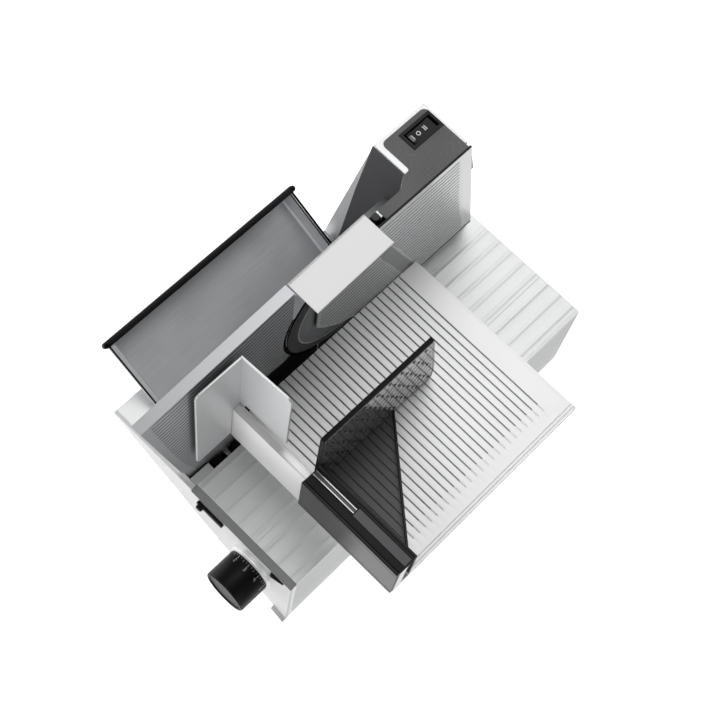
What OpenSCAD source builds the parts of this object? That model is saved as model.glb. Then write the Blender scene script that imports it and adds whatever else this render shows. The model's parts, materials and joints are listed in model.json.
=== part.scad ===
// Food slicer: tilted machine with round blade, thickness dial, sliding table, remnant holder and slice tray.
// Every part is drawn in the machine's own tilted frame: x to the right across the table from the blade,
// y rearward from the blade axis, z square up from the table top. place() leans it over and sets it on the floor.
// Real size in millimetres.

/* [Stance] */
// lean of the whole machine to the left, degrees
tilt = 26.6; // [20:0.1:32]
// height of the machine datum (table top at the blade) above the floor
datum_z = 93; // [85:0.5:110]
// machine datum to the object origin, sideways
datum_x = -38.45; // [-60:0.01:-20]
// machine datum to the object origin, front to back
datum_y = 29.5; // [20:0.5:50]

/* [Blade and drive] */
// blade diameter
blade_d = 170; // [150:1:200]
// blade axis above the table top
blade_z = 71; // [60:0.5:90]
// blade thickness
blade_t = 1.5; // [1:0.1:3]
// blade shaft diameter
shaft_d = 8; // [6:0.5:12]
// radial running clearance of a shaft in its bush
run = 0.05; // [0.01:0.01:0.1]
// worm wheel radius
wheel_r = 20; // [15:0.5:25]
// worm radius
worm_r = 5; // [3:0.5:8]
// motor can diameter
motor_d = 36; // [30:1:40]

/* [Sled] */
// table width across the machine
table_w = 197.5; // [150:0.5:240]
// table left edge from the blade plane
table_x = 3.5; // [3:0.1:6]
// table front edge
table_front = -145.8; // [-170:0.1:-120]
// table rear edge
table_rear = 80; // [60:1:120]
// table plate thickness
table_t = 4; // [2:0.5:6]
// thickness of the hollow front wall, front to back
wall_t = 9; // [6:0.5:14]
// front wall height above the table
wall_h = 51; // [30:1:70]
// sled guide rod diameter
rod_d = 10; // [6:0.5:14]

/* [Holder and guard] */
// left face of the holder channel and right face of the pusher plate
holder_x = 91.6; // [60:0.1:140]
// pusher plate thickness
pusher_t = 4.5; // [3:0.5:6]
// pusher plate height
pusher_top = 113; // [80:1:130]
// front edge of the thumb guard, before the front wall
guard_reach = 40.7; // [25:0.1:60]
// thumb guard height above the table
guard_h = 150; // [120:1:170]
// right edge of the thumb guard
guard_x1 = 60; // [45:1:80]

/* [Gauge plate] */
// top front corner of the gauge plate
gauge_front = -245; // [-260:1:-215]
// gauge plate thickness
gauge_t = 10.5; // [6:0.5:14]
// opening between gauge face and blade plane as drawn
gauge_open = 2; // [0.5:0.5:10]
// greatest slice thickness
slice_max = 20; // [10:1:25]
// dial turn for the whole gauge stroke, degrees
dial_turn = 330; // [180:5:340]

/* [Base] */
// base top plane below the table top
base_z = -52; // [-70:1:-40]
// left tip of the base
base_left = -92.7; // [-110:0.1:-80]
// right wall of the base
base_right = 134; // [110:1:160]
// front face of the base housing
base_front = -203; // [-220:1:-190]
// rear face of the base housing
base_rear = 178; // [160:1:200]
// height of the rubber feet
foot_h = 2.5; // [1:0.5:6]
// base wall thickness
base_t = 3; // [2:0.5:4]

/* [Tray] */
// tray rim height above the floor
tray_h = 24; // [15:1:40]
// tray sheet thickness
tray_t = 1; // [0.8:0.1:2]
// tray left end before the datum shift
tray_left = -111; // [-150:0.5:-100]
// tray right end before the datum shift
tray_right = -3; // [-20:0.5:-1]
// tray front wall
tray_front = -171; // [-200:1:-150]
// tray rear wall
tray_rear = 50; // [30:1:60]

/* [Hidden] */
$fn = 48;
seat = 0.3;
blade_r = blade_d / 2;
bay_gap = 8.2;
gauge_x1 = -gauge_open;
gauge_x0 = gauge_x1 - gauge_t;
foot_x = bay_gap - gauge_open - seat;
hood_x0 = -12.2;
hood_x1 = 22.3;
hood_y0 = -80;
hood_y1 = 5;
hood_t = 2.5;
arc_r = blade_r + 4;
table_x1 = table_x + table_w;
wall_y0 = table_front - wall_t;
lean_y = 0.218;
tower_y0 = 61;
tower_y1 = 121;
tower_z = blade_z + blade_r + 2;
tower_x0 = -54;
core_x = -3.5;
cover_x0 = 0.5;
cover_x1 = 2;
wheel_x = -24.5;
worm_z = blade_z - wheel_r - worm_r - 0.5;
rod_z = -75;
rod_x1 = 74;
rod_x2 = 104;
guide_z = -70;
guide_y1 = -155;
guide_y2 = -75;
dial_x = 90;
dial_z = -85;
dial_r = 22.4;
collar_t = 7;
cam_pin_d = 4;
groove_r0 = 3.5;
lip_x = base_right - 16;
pin_x = dial_x - groove_r0 - gauge_open;
cam_y0 = -198;
cam_y1 = -190;
panel_y = base_front - 3;
trim_y = base_front + 4;
holder_z = wall_h + seat;
chan_y0 = wall_y0 - seat - 4.2;
chan_y1 = table_front + 10.8;
gauge_rear = -blade_r + 4.5;
gauge_low = -82;

module place() { translate([datum_x, datum_y, datum_z]) rotate([0, -tilt, 0]) children(); }
module on_floor() { translate([datum_x, datum_y, 0]) children(); }
module along_y(a, b) { translate([0, b, 0]) rotate([90, 0, 0]) linear_extrude(b - a) children(); }
module along_x(a, b) { translate([a, 0, 0]) rotate([90, 0, 90]) linear_extrude(b - a) children(); }
module box(lo, hi) { translate(lo) cube(hi - lo); }
module pin_x(x0, x1, y, z, d) { translate([x0, y, z]) rotate([0, 90, 0]) cylinder(d = d, h = x1 - x0); }
module pin_y(y0, y1, x, z, d) { translate([x, y1, z]) rotate([90, 0, 0]) cylinder(d = d, h = y1 - y0); }
// machine height of a level line lying h above the floor, over the place x
function level(x, h) = (h - datum_z - x * sin(tilt)) / cos(tilt);
function rear_edge(z) = tower_y1 + (tower_z - z) * lean_y;
function hood_top(y) = blade_z + blade_r + 13 + 0.084 * (y - 5);
function guard_top(x) = guard_h - 1 + 0.15 * (x - 6);

module base_profile() polygon([[base_left, base_z], [base_right, base_z],
  [base_right, level(base_right, foot_h)], [base_left, level(base_left, foot_h)]]);
module base_inside() polygon([[-76, base_z - base_t], [base_right - base_t, base_z - base_t],
  [base_right - base_t, level(base_right, -5)], [-76, level(-76, -5)]]);

module base_housing() color([0.8, 0.81, 0.82]) place() difference() {
  along_y(base_front, base_rear) base_profile();
  difference() {
    along_y(base_front + base_t, base_rear - base_t) base_inside();
    box([-120, base_front, -200], [-63, -150, 0]);
    box([-120, -195, -200], [bay_gap + base_t, 63, 0]);
  }
  // bay for the slice tray and the gauge plate
  box([-120, tray_front - 0.8, -220], [bay_gap, 60, 0]);
  box([-63, tray_front - 12, -220], [bay_gap, tray_front, 0]);
  box([-34, base_front + base_t, -220], [bay_gap, tray_front, 0]);
  // slot of the sled stem
  box([84, -142, -60], [94, 82, 0]);
  // windows for the gauge guides in the bay wall
  pin_x(bay_gap - 1, bay_gap + base_t + 1, guide_y1, guide_z, rod_d + 4);
  pin_x(bay_gap - 1, bay_gap + base_t + 1, guide_y2, guide_z, rod_d + 4);
  // spindle hole and lock slot in the front wall
  pin_y(base_front - 1, base_front + base_t + 1, dial_x, dial_z, shaft_d + 2);
  box([27, base_front - 1, -64.5], [43, base_front + base_t + 1, -59.5]);
  // cable entry at the rear
  pin_y(base_rear - base_t - 1, base_rear + 1, 70, -85, 12.2);
  // seat of the chamfered front trim
  box([bay_gap, base_front - 1, base_z - 5.5], [base_right + 1, trim_y, base_z + 1]);
}

module base_plate() color([0.6, 0.61, 0.62]) place() {
  along_y(base_front + base_t + 0.2, base_rear - base_t - 0.2)
    polygon([[bay_gap + base_t + 0.2, level(bay_gap + base_t + 0.2, foot_h)],
      [base_right - base_t - 0.2, level(base_right - base_t - 0.2, foot_h)],
      [base_right - base_t - 0.2, level(base_right - base_t - 0.2, foot_h + 2)],
      [bay_gap + base_t + 0.2, level(bay_gap + base_t + 0.2, foot_h + 2)]]);
  along_y(63.2, base_rear - base_t - 0.2)
    polygon([[-74, level(-74, foot_h)], [bay_gap + base_t + 0.3, level(bay_gap + base_t + 0.3, foot_h)],
      [bay_gap + base_t + 0.3, level(bay_gap + base_t + 0.3, foot_h + 2)], [-74, level(-74, foot_h + 2)]]);
}

module front_panel() color([0.86, 0.87, 0.88]) place() difference() {
  union() {
    along_y(panel_y, base_front) polygon([[base_left, base_z], [bay_gap, base_z],
      [bay_gap, base_z - 6], [base_right, base_z - 6],
      [base_right, level(base_right, 1)], [base_left, level(base_left, 1)]]);
    along_y(panel_y - 4, panel_y) polygon([[lip_x, level(lip_x, 1)], [lip_x, level(lip_x, 3)],
      [base_right, level(base_right, 3)], [base_right, level(base_right, 1)]]);
  }
  pin_y(panel_y - 1, base_front + 1, dial_x, dial_z, shaft_d + 2);
  box([27, panel_y - 1, -64.5], [43, base_front + 1, -59.5]);
}

module front_trim() color([0.55, 0.56, 0.57]) place() along_x(bay_gap, base_right)
  polygon([[trim_y, base_z], [panel_y, base_z - 4.5], [panel_y, base_z - 6],
    [base_front, base_z - 6], [base_front, base_z - 5.5], [trim_y, base_z - 5.5]]);

module rubber_feet() color([0.1, 0.1, 0.1]) on_floor() {
  for (p = [[-50, -196], [153, -182], [153, 164], [-29, 154]])
    translate([p[0], p[1], 0]) cylinder(r = 8 - (p[0] == -50 ? 3 : 0), h = foot_h);
}

module base_screws() color([0.7, 0.7, 0.72]) on_floor() {
  for (p = [[120, -150], [120, 120], [60, -150], [60, 120]])
    translate([p[0], p[1], foot_h - 1.4]) difference() {
      cylinder(d = 8, h = 1.4);
      translate([-3, -0.6, -1]) cube([6, 1.2, 1.8]);
    }
}

module tower_body(s) {
  intersection() {
    along_x(-110, core_x - s) polygon([[tower_y0 + s, base_z + (s > 0 ? -1 : 0)],
      [tower_y0 + s, tower_z - (s > 0 ? s + 1.2 : 0)], [tower_y1 - s, tower_z - (s > 0 ? s + 1.2 : 0)],
      [rear_edge(base_z) - s, base_z + (s > 0 ? -1 : 0)]]);
    along_y(50, 190) polygon([[base_left + 0.5 + s, base_z], [tower_x0 + s, tower_z],
      [core_x, tower_z], [core_x, base_z - 1], [base_left + 0.5 + s, base_z - 1]]);
  }
}

module motor_tower() color([0.75, 0.76, 0.77]) place() difference() {
  union() {
    tower_body(0);
    box([-10, 18, tower_z - 18], [core_x, tower_y0, tower_z]);
    along_x(-10, core_x) polygon([[40, tower_z - 33], [tower_y0, tower_z - 46],
      [tower_y0, tower_z - 17], [40, tower_z - 17]]);
    translate([-10, 45, tower_z - 18]) linear_extrude(18)
      polygon([[0, 0], [0, 16], [-8, 16], [-7.2, 13], [-4, 8], [-1.2, 4.4]]);
  }
  tower_body(2.5);
  // shallow seat of the dark top panel
  box([-52, 63, tower_z - 1.2], [1, 119, tower_z + 1]);
  box([-8.2, 20, tower_z - 1.2], [1, 64, tower_z + 1]);
  // switch opening, worm shaft hole
  box([-45.6, 83.8, tower_z - 18], [-28.9, 118.2, tower_z + 1]);
  pin_y(tower_y0 - 1, tower_y0 + 4, wheel_x, worm_z, 14);
}

module tower_top_panel() color([0.3, 0.3, 0.31]) place() difference() {
  union() {
    box([-51.8, 63.2, tower_z - 1.2], [cover_x0, 118.8, tower_z]);
    box([-8, 20.2, tower_z - 1.2], [cover_x0, 63.3, tower_z]);
  }
  box([-45.6, 83.8, tower_z - 8], [-28.9, 118.2, tower_z + 1]);
}

module switch_housing() color([0.05, 0.05, 0.05]) place() difference() {
  union() {
    box([-45.5, 83.9, tower_z - 15], [-29, 118.1, tower_z - 0.2]);
    box([-46.5, 82.9, tower_z], [-28, 118.7, tower_z + 0.8]);
    box([-45.5, 83.9, tower_z - 0.3], [-29, 118.1, tower_z + 0.1]);
  }
  box([-43.5, 85.9, tower_z - 13], [-31, 116.1, tower_z + 2]);
  pin_x(-44.6, -29.9, 101, tower_z - 6, 2.6);
}

module switch_rocker() color([0.08, 0.08, 0.08]) place() translate([0, 0, tower_z]) {
  along_x(-43.2, -31.3) polygon([[87.8, -1.8], [91, -0.4], [96, -0.6], [101, -0.8],
    [106, -0.6], [111, -0.4], [114.2, -1.8], [113.4, -5.5], [105, -7.6], [97, -7.6], [88.6, -5.5]]);
  pin_x(-44.4, -30.1, 101, -6, 2.5);
}

module side_cover() color([0.72, 0.73, 0.74]) place() {
  along_x(cover_x0, cover_x1) polygon([[-52.5, tower_z - 3], [-52.5, 55], [-46, 44.5], [-40, 36], [-28, 21.5],
    [-20, 12.5], [-4, 1], [5, -8], [5, -30], [rear_edge(-30), -30], [tower_y1, tower_z],
    [hood_y1 + seat, tower_z], [hood_y1 + seat, tower_z + 2], [-6, tower_z + 0.8]]);
  // rim that stands the sheet off the tower
  box([core_x, 32, tower_z - 4.5], [cover_x0, 119, tower_z - 1.2]);
  box([core_x, 92, -30], [cover_x0, rear_edge(-30) - 0.7, -26.5]);
  along_x(core_x, cover_x0) polygon([[rear_edge(-30), -30], [tower_y1, tower_z - 1.2],
    [tower_y1 - 3, tower_z - 1.2], [rear_edge(-30) - 3, -30]]);
}

module hood_sheet(x0, x1, t) along_x(x0, x1) polygon([[hood_y0, hood_top(hood_y0) - t],
  [hood_y0, hood_top(hood_y0)], [hood_y1, hood_top(hood_y1)], [hood_y1, hood_top(hood_y1) - t]]);
module blade_hood() color([0.92, 0.92, 0.92]) place() {
  hood_sheet(hood_x0, hood_x1, hood_t);
  hood_sheet(hood_x0, hood_x0 + hood_t, 8.5);
  // tongue that lies on the drive cover
  box([-10, -6, tower_z - 0.4], [core_x, hood_y1, tower_z + 10]);
  box([-10, hood_y1 - 1, tower_z - 12], [core_x, 18, tower_z]);
}

module cover_screw() color([0.1, 0.1, 0.1]) place() translate([-6.4, 14.2, tower_z]) {
  cylinder(d = 6.4, h = 2.2);
  for (a = [0:30:330]) rotate(a) translate([3.2, 0, 0]) cylinder(d = 0.8, h = 2.2);
}

module arm_outline(s) {
  translate([0, blade_z]) circle(r = 27 - s);
  translate([s > 0 ? -12 : -20, worm_z]) circle(r = 10 - s);
  translate([0, blade_z - 27 + s]) square([tower_y0, 54 - 2 * s]);
  translate([s > 0 ? -12 : -20, worm_z - 10 + s]) square([tower_y0 + (s > 0 ? 12 : 20), 20 - 2 * s]);
}

module drive_arm() color([0.5, 0.51, 0.52]) place() difference() {
  union() {
    difference() {
      along_x(-31, core_x) arm_outline(0);
      along_x(-32, core_x - 2.5) arm_outline(2.5);
    }
    pin_x(-11, core_x, 0, blade_z, 20);
    // strut that carries the hood tongue and ties the arm to the tower strip
    box([-10, -6, blade_z + 26], [core_x - 0.4, hood_y1 - 1, tower_z - 0.4]);
  }
  pin_x(-40, 5, 0, blade_z, 12);
  // worm shaft bearing in the front end and passage through the rear
  pin_y(-31, 70, wheel_x, worm_z, shaft_d - 3 + 2 * run);
  pin_y(20, 70, wheel_x, worm_z, 14);
}

module arm_cover() color([0.45, 0.46, 0.47]) place() difference() {
  along_x(-33, -31) arm_outline(0);
  pin_x(-40, -20, 0, blade_z, shaft_d + 2 * run);
}

module blade_bush() color([0.75, 0.6, 0.3]) place() difference() {
  pin_x(-11, core_x, 0, blade_z, 12);
  pin_x(-12, core_x + 1, 0, blade_z, shaft_d + 2 * run);
}

module slicing_blade() color([0.78, 0.79, 0.8]) place() translate([0, 0, blade_z]) rotate([0, 90, 0])
  rotate_extrude($fn = 96) polygon([[shaft_d / 2 + 0.05, -blade_t], [blade_r - 4, -blade_t],
    [blade_r, -0.9], [blade_r - 9, 0], [shaft_d / 2 + 0.05, 0]]);

module blade_hub() color([0.85, 0.85, 0.85]) place() difference() {
  pin_x(core_x + 0.4, -blade_t, 0, blade_z, 40);
  pin_x(-6, 1, 0, blade_z, shaft_d + 0.1);
}

module blade_shaft() color([0.65, 0.66, 0.67]) place() pin_x(-32.8, -0.1, 0, blade_z, shaft_d);

module worm_wheel() color([0.9, 0.88, 0.8]) place() difference() {
  pin_x(wheel_x - 4, wheel_x + 4, 0, blade_z, 2 * wheel_r);
  pin_x(-40, 5, 0, blade_z, shaft_d + 0.1);
}

module worm_shaft() color([0.6, 0.61, 0.62]) place() {
  pin_y(-26, 120, wheel_x, worm_z, shaft_d - 3);
  pin_y(-14, 14, wheel_x, worm_z, 2 * worm_r);
}

module motor_rotor() color([0.45, 0.3, 0.15]) place() difference() {
  pin_y(74, 104, wheel_x, worm_z, motor_d - 10);
  pin_y(70, 110, wheel_x, worm_z, shaft_d - 3 + 0.1);
}

module cooling_fan() color([0.2, 0.2, 0.2]) place() difference() {
  union() {
    pin_y(108, 115, wheel_x, worm_z, 9);
    for (a = [0:45:315]) translate([wheel_x, 0, worm_z]) rotate([0, a, 0])
      translate([3, 109, -0.6]) cube([10.5, 5, 1.2]);
  }
  pin_y(100, 120, wheel_x, worm_z, shaft_d - 3 + 0.1);
}

module motor_can() color([0.35, 0.36, 0.38]) place() difference() {
  pin_y(66.5, 122, wheel_x, worm_z, motor_d);
  pin_y(68.5, 120, wheel_x, worm_z, motor_d - 4);
  pin_y(60, 130, wheel_x, worm_z, 9);
}

module motor_bushes() color([0.75, 0.6, 0.3]) place() difference() {
  union() {
    pin_y(66.5, 72, wheel_x, worm_z, 8.9);
    pin_y(117, 122, wheel_x, worm_z, 8.9);
  }
  pin_y(60, 130, wheel_x, worm_z, shaft_d - 3 + 2 * run);
}

module motor_bracket() color([0.55, 0.56, 0.58]) place() difference() {
  box([-46, 63.5, 20], [-6.2, 66.5, 72]);
  pin_y(60, 70, wheel_x, worm_z, 12);
}

module sled_rods() color([0.75, 0.76, 0.78]) place() {
  pin_y(-150, 86, rod_x1, rod_z, rod_d);
  pin_y(-150, 86, rod_x2, rod_z, rod_d);
}

module rod_mounts() color([0.15, 0.15, 0.16]) place() difference() {
  union() {
    box([64, -156, -92], [114, -148, base_z - base_t]);
    box([64, 84, -92], [114, 92, base_z - base_t]);
  }
  pin_y(-150, 86, rod_x1, rod_z, rod_d);
  pin_y(-150, 86, rod_x2, rod_z, rod_d);
}

module gauge_bushes() color([0.08, 0.08, 0.08]) place() difference() {
  union() {
    box([bay_gap + base_t, guide_y1 - 17, guide_z - 12], [26, guide_y1 + 15, base_z - base_t]);
    box([bay_gap + base_t, guide_y2 - 12, guide_z - 12], [26, guide_y2 + 12, base_z - base_t]);
  }
  pin_x(0, 40, guide_y1, guide_z, rod_d + 2 * run);
  pin_x(0, 40, guide_y2, guide_z, rod_d + 2 * run);
}

module dial_collar() color([0.7, 0.71, 0.72]) place() difference() {
  pin_y(panel_y - collar_t, panel_y, dial_x, dial_z, 2 * dial_r + 3.2);
  pin_y(panel_y - 8, panel_y + 1, dial_x, dial_z, shaft_d + 2 * run);
}

module dial_pointer() color([0.05, 0.05, 0.05]) place() along_y(panel_y - 1.2, panel_y)
  polygon([[110, base_z - 7], [125, base_z - 7], [120, base_z - 15]]);

module cord_gland() color([0.12, 0.12, 0.12]) place() difference() {
  union() {
    pin_y(base_rear, base_rear + 8, 70, -85, 18);
    pin_y(base_rear - base_t - 3, base_rear, 70, -85, 12);
  }
  pin_y(base_rear - 10, base_rear + 10, 70, -85, 7);
}

module rear_bumper() color([0.55, 0.56, 0.57]) place() along_x(-9, -1)
  polygon([[rear_edge(129), 129], [rear_edge(129) + 4, 127], [rear_edge(93) + 5, 95],
    [rear_edge(93), 93]]);

// face outline of the gauge plate, drawn in by d from the outer edge
module gauge_outline(d, top) polygon([[gauge_front + d, hood_top(gauge_front + d) - top],
  [gauge_rear - d, hood_top(gauge_rear - d) - top], [gauge_rear - d, blade_z - 31 + d / 2],
  [gauge_rear / 2 - d, d], [gauge_rear / 2 - d, gauge_low + d], [gauge_front + 48.5 + d, gauge_low + d],
  [gauge_front + 46 + d, base_z + 6], [gauge_front + 36.5 + d, -20]]);
module gauge_plate() color([0.7, 0.71, 0.72]) place() difference() {
  along_x(gauge_x0, gauge_x1) gauge_outline(0, 0);
  pin_x(gauge_x0 - 1, gauge_x1 + 1, 0, blade_z, 2 * arc_r);
  // hollow back behind the face sheet
  difference() {
    along_x(gauge_x0 - 1, gauge_x1 - 3) gauge_outline(3.5, 9.5);
    pin_x(gauge_x0 - 2, gauge_x1, 0, blade_z, 2 * arc_r + 6);
    pin_x(gauge_x0 - 2, gauge_x1, guide_y1, guide_z, rod_d + 10);
    pin_x(gauge_x0 - 2, gauge_x1, guide_y2, guide_z, rod_d + 10);
  }
  // room under the hood
  box([gauge_x0 - 1, hood_y0 - 1.5, hood_top(hood_y0) - 9.5], [5, hood_y0 + 10, hood_top(5) + 30]);
}

module gauge_feet() color([0.08, 0.08, 0.08]) place()
  for (y = [guide_y1, guide_y2], s = [[-19, -9.5], [6, 15]])
    box([gauge_x1, y + s[0], guide_z - 10], [foot_x, y + s[1], guide_z + 10]);

module gauge_guides() color([0.8, 0.81, 0.82]) place() {
  pin_x(gauge_x1, 56, guide_y1, guide_z, rod_d);
  pin_x(gauge_x1, 56, guide_y2, guide_z, rod_d);
}

module gauge_crossbar() color([0.4, 0.41, 0.42]) place() difference() {
  box([48, guide_y1 - 10, guide_z - 8], [56, guide_y2 + 10, guide_z + 8]);
  pin_x(40, 60, guide_y1, guide_z, rod_d + 0.1);
  pin_x(40, 60, guide_y2, guide_z, rod_d + 0.1);
}

module gauge_link() color([0.5, 0.51, 0.53]) place() difference() {
  union() {
    box([48, -186, dial_z - 5], [pin_x + 4, -182, dial_z + 5]);
    box([48, -186, dial_z - 5], [56, -182, guide_z + 8]);
    box([48, -183, guide_z - 8], [56, guide_y1 - 10, guide_z + 8]);
  }
  pin_y(-190, -180, pin_x, dial_z, cam_pin_d + 0.1);
}

module cam_pin() color([0.8, 0.81, 0.83]) place() pin_y(-195.6, -182, pin_x, dial_z, cam_pin_d);

// spiral groove: the pin sits to the left of the spindle and is pushed out as the dial turns
function turn_at(i) = dial_turn * (i / 44 - gauge_open / slice_max);
function groove_r(a) = groove_r0 + slice_max * (a / dial_turn + gauge_open / slice_max);
function groove_wall(a, w) = let (r = groove_r(a), q = slice_max / dial_turn * 180 / PI, n = norm([q, r]))
  [-r * cos(a) - w / n * (r * cos(a) + q * sin(a)), -r * sin(a) + w / n * (q * cos(a) - r * sin(a))];
module cam_disc() color([0.85, 0.83, 0.76]) place() difference() {
  pin_y(cam_y0, cam_y1, dial_x, dial_z, 2 * (groove_r0 + slice_max + 3.2));
  along_y(cam_y0 + 2, cam_y1 + 1) translate([dial_x, dial_z])
    polygon(concat([for (i = [0:44]) groove_wall(turn_at(i), cam_pin_d / 2 + seat)],
      [for (i = [44:-1:0]) groove_wall(turn_at(i), -cam_pin_d / 2 - seat)]));
  for (a = [turn_at(0), turn_at(44)])
    pin_y(cam_y0 + 2, cam_y1 + 1, dial_x - groove_r(a) * cos(a), dial_z - groove_r(a) * sin(a),
      cam_pin_d + 2 * seat);
  pin_y(cam_y0 - 1, cam_y0 + 1.5, dial_x, dial_z, shaft_d + 0.1);
}

module dial_spindle() color([0.7, 0.71, 0.73]) place() pin_y(-238, cam_y0 + 1.4, dial_x, dial_z, shaft_d);

module dial_knob() color([0.05, 0.05, 0.05]) place() difference() {
  pin_y(-244, panel_y - collar_t - seat, dial_x, dial_z, 2 * dial_r);
  pin_y(-238.1, -200, dial_x, dial_z, shaft_d + 0.1);
}

module sled_table() color([0.85, 0.86, 0.87]) place() {
  box([table_x, table_front, -table_t], [table_x1, table_rear, 0]);
  box([table_x1 - 2.5, table_front, -9], [table_x1, table_rear, -table_t]);
  box([table_x, table_rear - 2.5, -12], [table_x1, table_rear, -table_t]);
}

module sled_front_wall() color([0.82, 0.83, 0.84]) place() difference() {
  box([table_x, wall_y0, -12], [table_x1, table_front, wall_h]);
  box([table_x + 2, wall_y0 + 2, -14], [table_x1 - 2, table_front - 2, wall_h - 2.5]);
}

module thumb_guard() color([0.8, 0.81, 0.82, 0.9]) place() {
  along_x(table_x, table_x + 2.5) polygon([[wall_y0 - seat, -table_t], [wall_y0 - guard_reach, -table_t],
    [wall_y0 - guard_reach, guard_h], [table_front - 0.2, guard_h], [table_front - 0.2, wall_h + 0.1],
    [wall_y0 - seat, wall_h + 0.1]]);
  along_y(table_front - 0.5, table_front + 2) polygon([[table_x, wall_h + 6.5], [guard_x1, wall_h + 6.5],
    [guard_x1, guard_top(guard_x1)], [table_x + 2.5, guard_h - 0.5], [table_x, guard_h]]);
}

module sled_stem() color([0.6, 0.61, 0.62]) place() {
  box([86, -80, -63], [92, -30, -table_t - 3]);
  box([70, -84, -table_t - 3], [108, -26, -table_t]);
}

module sled_carriage() color([0.2, 0.2, 0.21]) place() difference() {
  box([66, -80, -90], [112, -30, -60]);
  pin_y(-90, 0, rod_x1, rod_z, rod_d + 4);
  pin_y(-90, 0, rod_x2, rod_z, rod_d + 4);
  box([86, -81, -63], [92, -29, -59]);
}

module sled_bushes() color([0.85, 0.83, 0.75]) place() difference() {
  for (x = [rod_x1, rod_x2]) for (y = [-80, -42]) pin_y(y, y + 12, x, rod_z, rod_d + 4);
  for (x = [rod_x1, rod_x2]) pin_y(-90, 0, x, rod_z, rod_d + 2 * run);
}

module holder_channel() color([0.06, 0.06, 0.06]) place() {
  along_x(holder_x, table_x1) polygon([[chan_y0, -2.5], [chan_y0, holder_z + 4], [chan_y1, holder_z + 4],
    [chan_y1, 3], [chan_y1 - 2, 3], [chan_y1 - 2, holder_z + 1.5], [table_front + seat + 2, holder_z + 1.5],
    [table_front + seat + 2, wall_h - 15], [table_front + seat, wall_h - 15], [table_front + seat, holder_z],
    [wall_y0 - seat, holder_z], [wall_y0 - seat, -2.5]]);
}

module holder_rails() color([0.03, 0.03, 0.03]) place() {
  box([holder_x, chan_y0, holder_z + 4], [table_x1, chan_y0 + 3, holder_z + 4.8]);
  box([holder_x, chan_y1 - 3, holder_z + 4], [table_x1, chan_y1, holder_z + 4.8]);
}

module holder_strip() color([0.8, 0.8, 0.8]) place()
  box([holder_x + 1.4, chan_y1 - 12.5, holder_z + 4], [holder_x + 48, chan_y1 - 7.5, holder_z + 4.6]);

module pusher_plate() color([0.1, 0.1, 0.1]) place()
  along_x(holder_x - pusher_t, holder_x) polygon([[chan_y1 - 3, 2], [chan_y1 - 3, pusher_top],
    [-9.7, pusher_top], [7, 22], [7, 2]]);

module holder_web() color([0.12, 0.12, 0.12, 0.85]) place() translate([0, 0, 3]) linear_extrude(3)
  polygon([[holder_x, chan_y1], [table_x1 - 9, chan_y1], [table_x1 - 9, chan_y1 + 8], [holder_x, -41]]);

module lock_slider() color([0.05, 0.05, 0.05]) place() {
  box([18, panel_y - 3.2, -65], [50, panel_y - 0.2, -59]);
  box([20, panel_y - 6.5, -64.5], [27, panel_y - 3.2, -59.5]);
  box([28, panel_y - 1, -64], [34, base_front + base_t + 3, -60]);
}

module catch_tray() color([0.75, 0.76, 0.77]) on_floor() difference() {
  union() {
    box([tray_left, tray_front, 0], [tray_right, tray_rear, tray_h]);
    box([tray_left, tray_front - 6, tray_h - 2.4], [tray_right, tray_rear + 2, tray_h]);
  }
  box([tray_left + tray_t, tray_front + tray_t, tray_t], [tray_right - tray_t, tray_rear - tray_t, tray_h + 1]);
  box([tray_left - 1, tray_front - 7, tray_h - 4], [tray_right - tray_t, tray_front - 5, tray_h - 1.4]);
}

module tray_edge() color([0.04, 0.04, 0.04]) on_floor() {
  box([tray_left - 4, tray_front - 7, tray_h - 5], [tray_left, tray_rear + 4, tray_h]);
  box([tray_left - 4, tray_front - 7, tray_h], [tray_left + 2, tray_rear + 4, tray_h + 2]);
  translate([tray_left - 1, tray_rear + 4, tray_h - 5]) cylinder(r = 3, h = 7);
}

base_housing();
base_plate();
front_panel();
front_trim();
rubber_feet();
base_screws();
motor_tower();
tower_top_panel();
switch_housing();
side_cover();
blade_hood();
cover_screw();
drive_arm();
arm_cover();
blade_bush();
motor_can();
motor_bracket();
motor_bushes();
sled_rods();
rod_mounts();
gauge_bushes();
dial_collar();
dial_pointer();
cord_gland();
rear_bumper();
gauge_plate();
gauge_feet();
gauge_guides();
gauge_crossbar();
gauge_link();
cam_pin();
dial_knob();
dial_spindle();
cam_disc();
slicing_blade();
blade_hub();
blade_shaft();
worm_wheel();
motor_rotor();
worm_shaft();
cooling_fan();
sled_table();
sled_front_wall();
thumb_guard();
sled_stem();
sled_carriage();
sled_bushes();
holder_channel();
holder_rails();
holder_strip();
pusher_plate();
holder_web();
switch_rocker();
lock_slider();
catch_tray();
tray_edge();
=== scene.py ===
import json
import math
import bmesh
import bpy
import numpy as np
from mathutils import Matrix, Vector

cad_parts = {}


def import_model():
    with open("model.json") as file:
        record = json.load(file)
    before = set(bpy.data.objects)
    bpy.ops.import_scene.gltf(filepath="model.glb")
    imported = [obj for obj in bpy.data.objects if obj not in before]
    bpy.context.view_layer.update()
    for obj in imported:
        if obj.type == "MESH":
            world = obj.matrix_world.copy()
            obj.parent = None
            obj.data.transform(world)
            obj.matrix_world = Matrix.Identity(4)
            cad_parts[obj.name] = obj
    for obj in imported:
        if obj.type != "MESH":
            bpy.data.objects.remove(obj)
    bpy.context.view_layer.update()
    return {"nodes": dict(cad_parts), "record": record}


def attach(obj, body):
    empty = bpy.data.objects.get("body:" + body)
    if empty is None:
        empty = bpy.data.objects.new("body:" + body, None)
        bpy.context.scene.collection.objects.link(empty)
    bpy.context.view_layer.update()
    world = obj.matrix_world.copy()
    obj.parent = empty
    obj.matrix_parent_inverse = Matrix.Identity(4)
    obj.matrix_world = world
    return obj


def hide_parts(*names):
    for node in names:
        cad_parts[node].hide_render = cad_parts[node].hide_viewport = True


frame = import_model()

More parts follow.
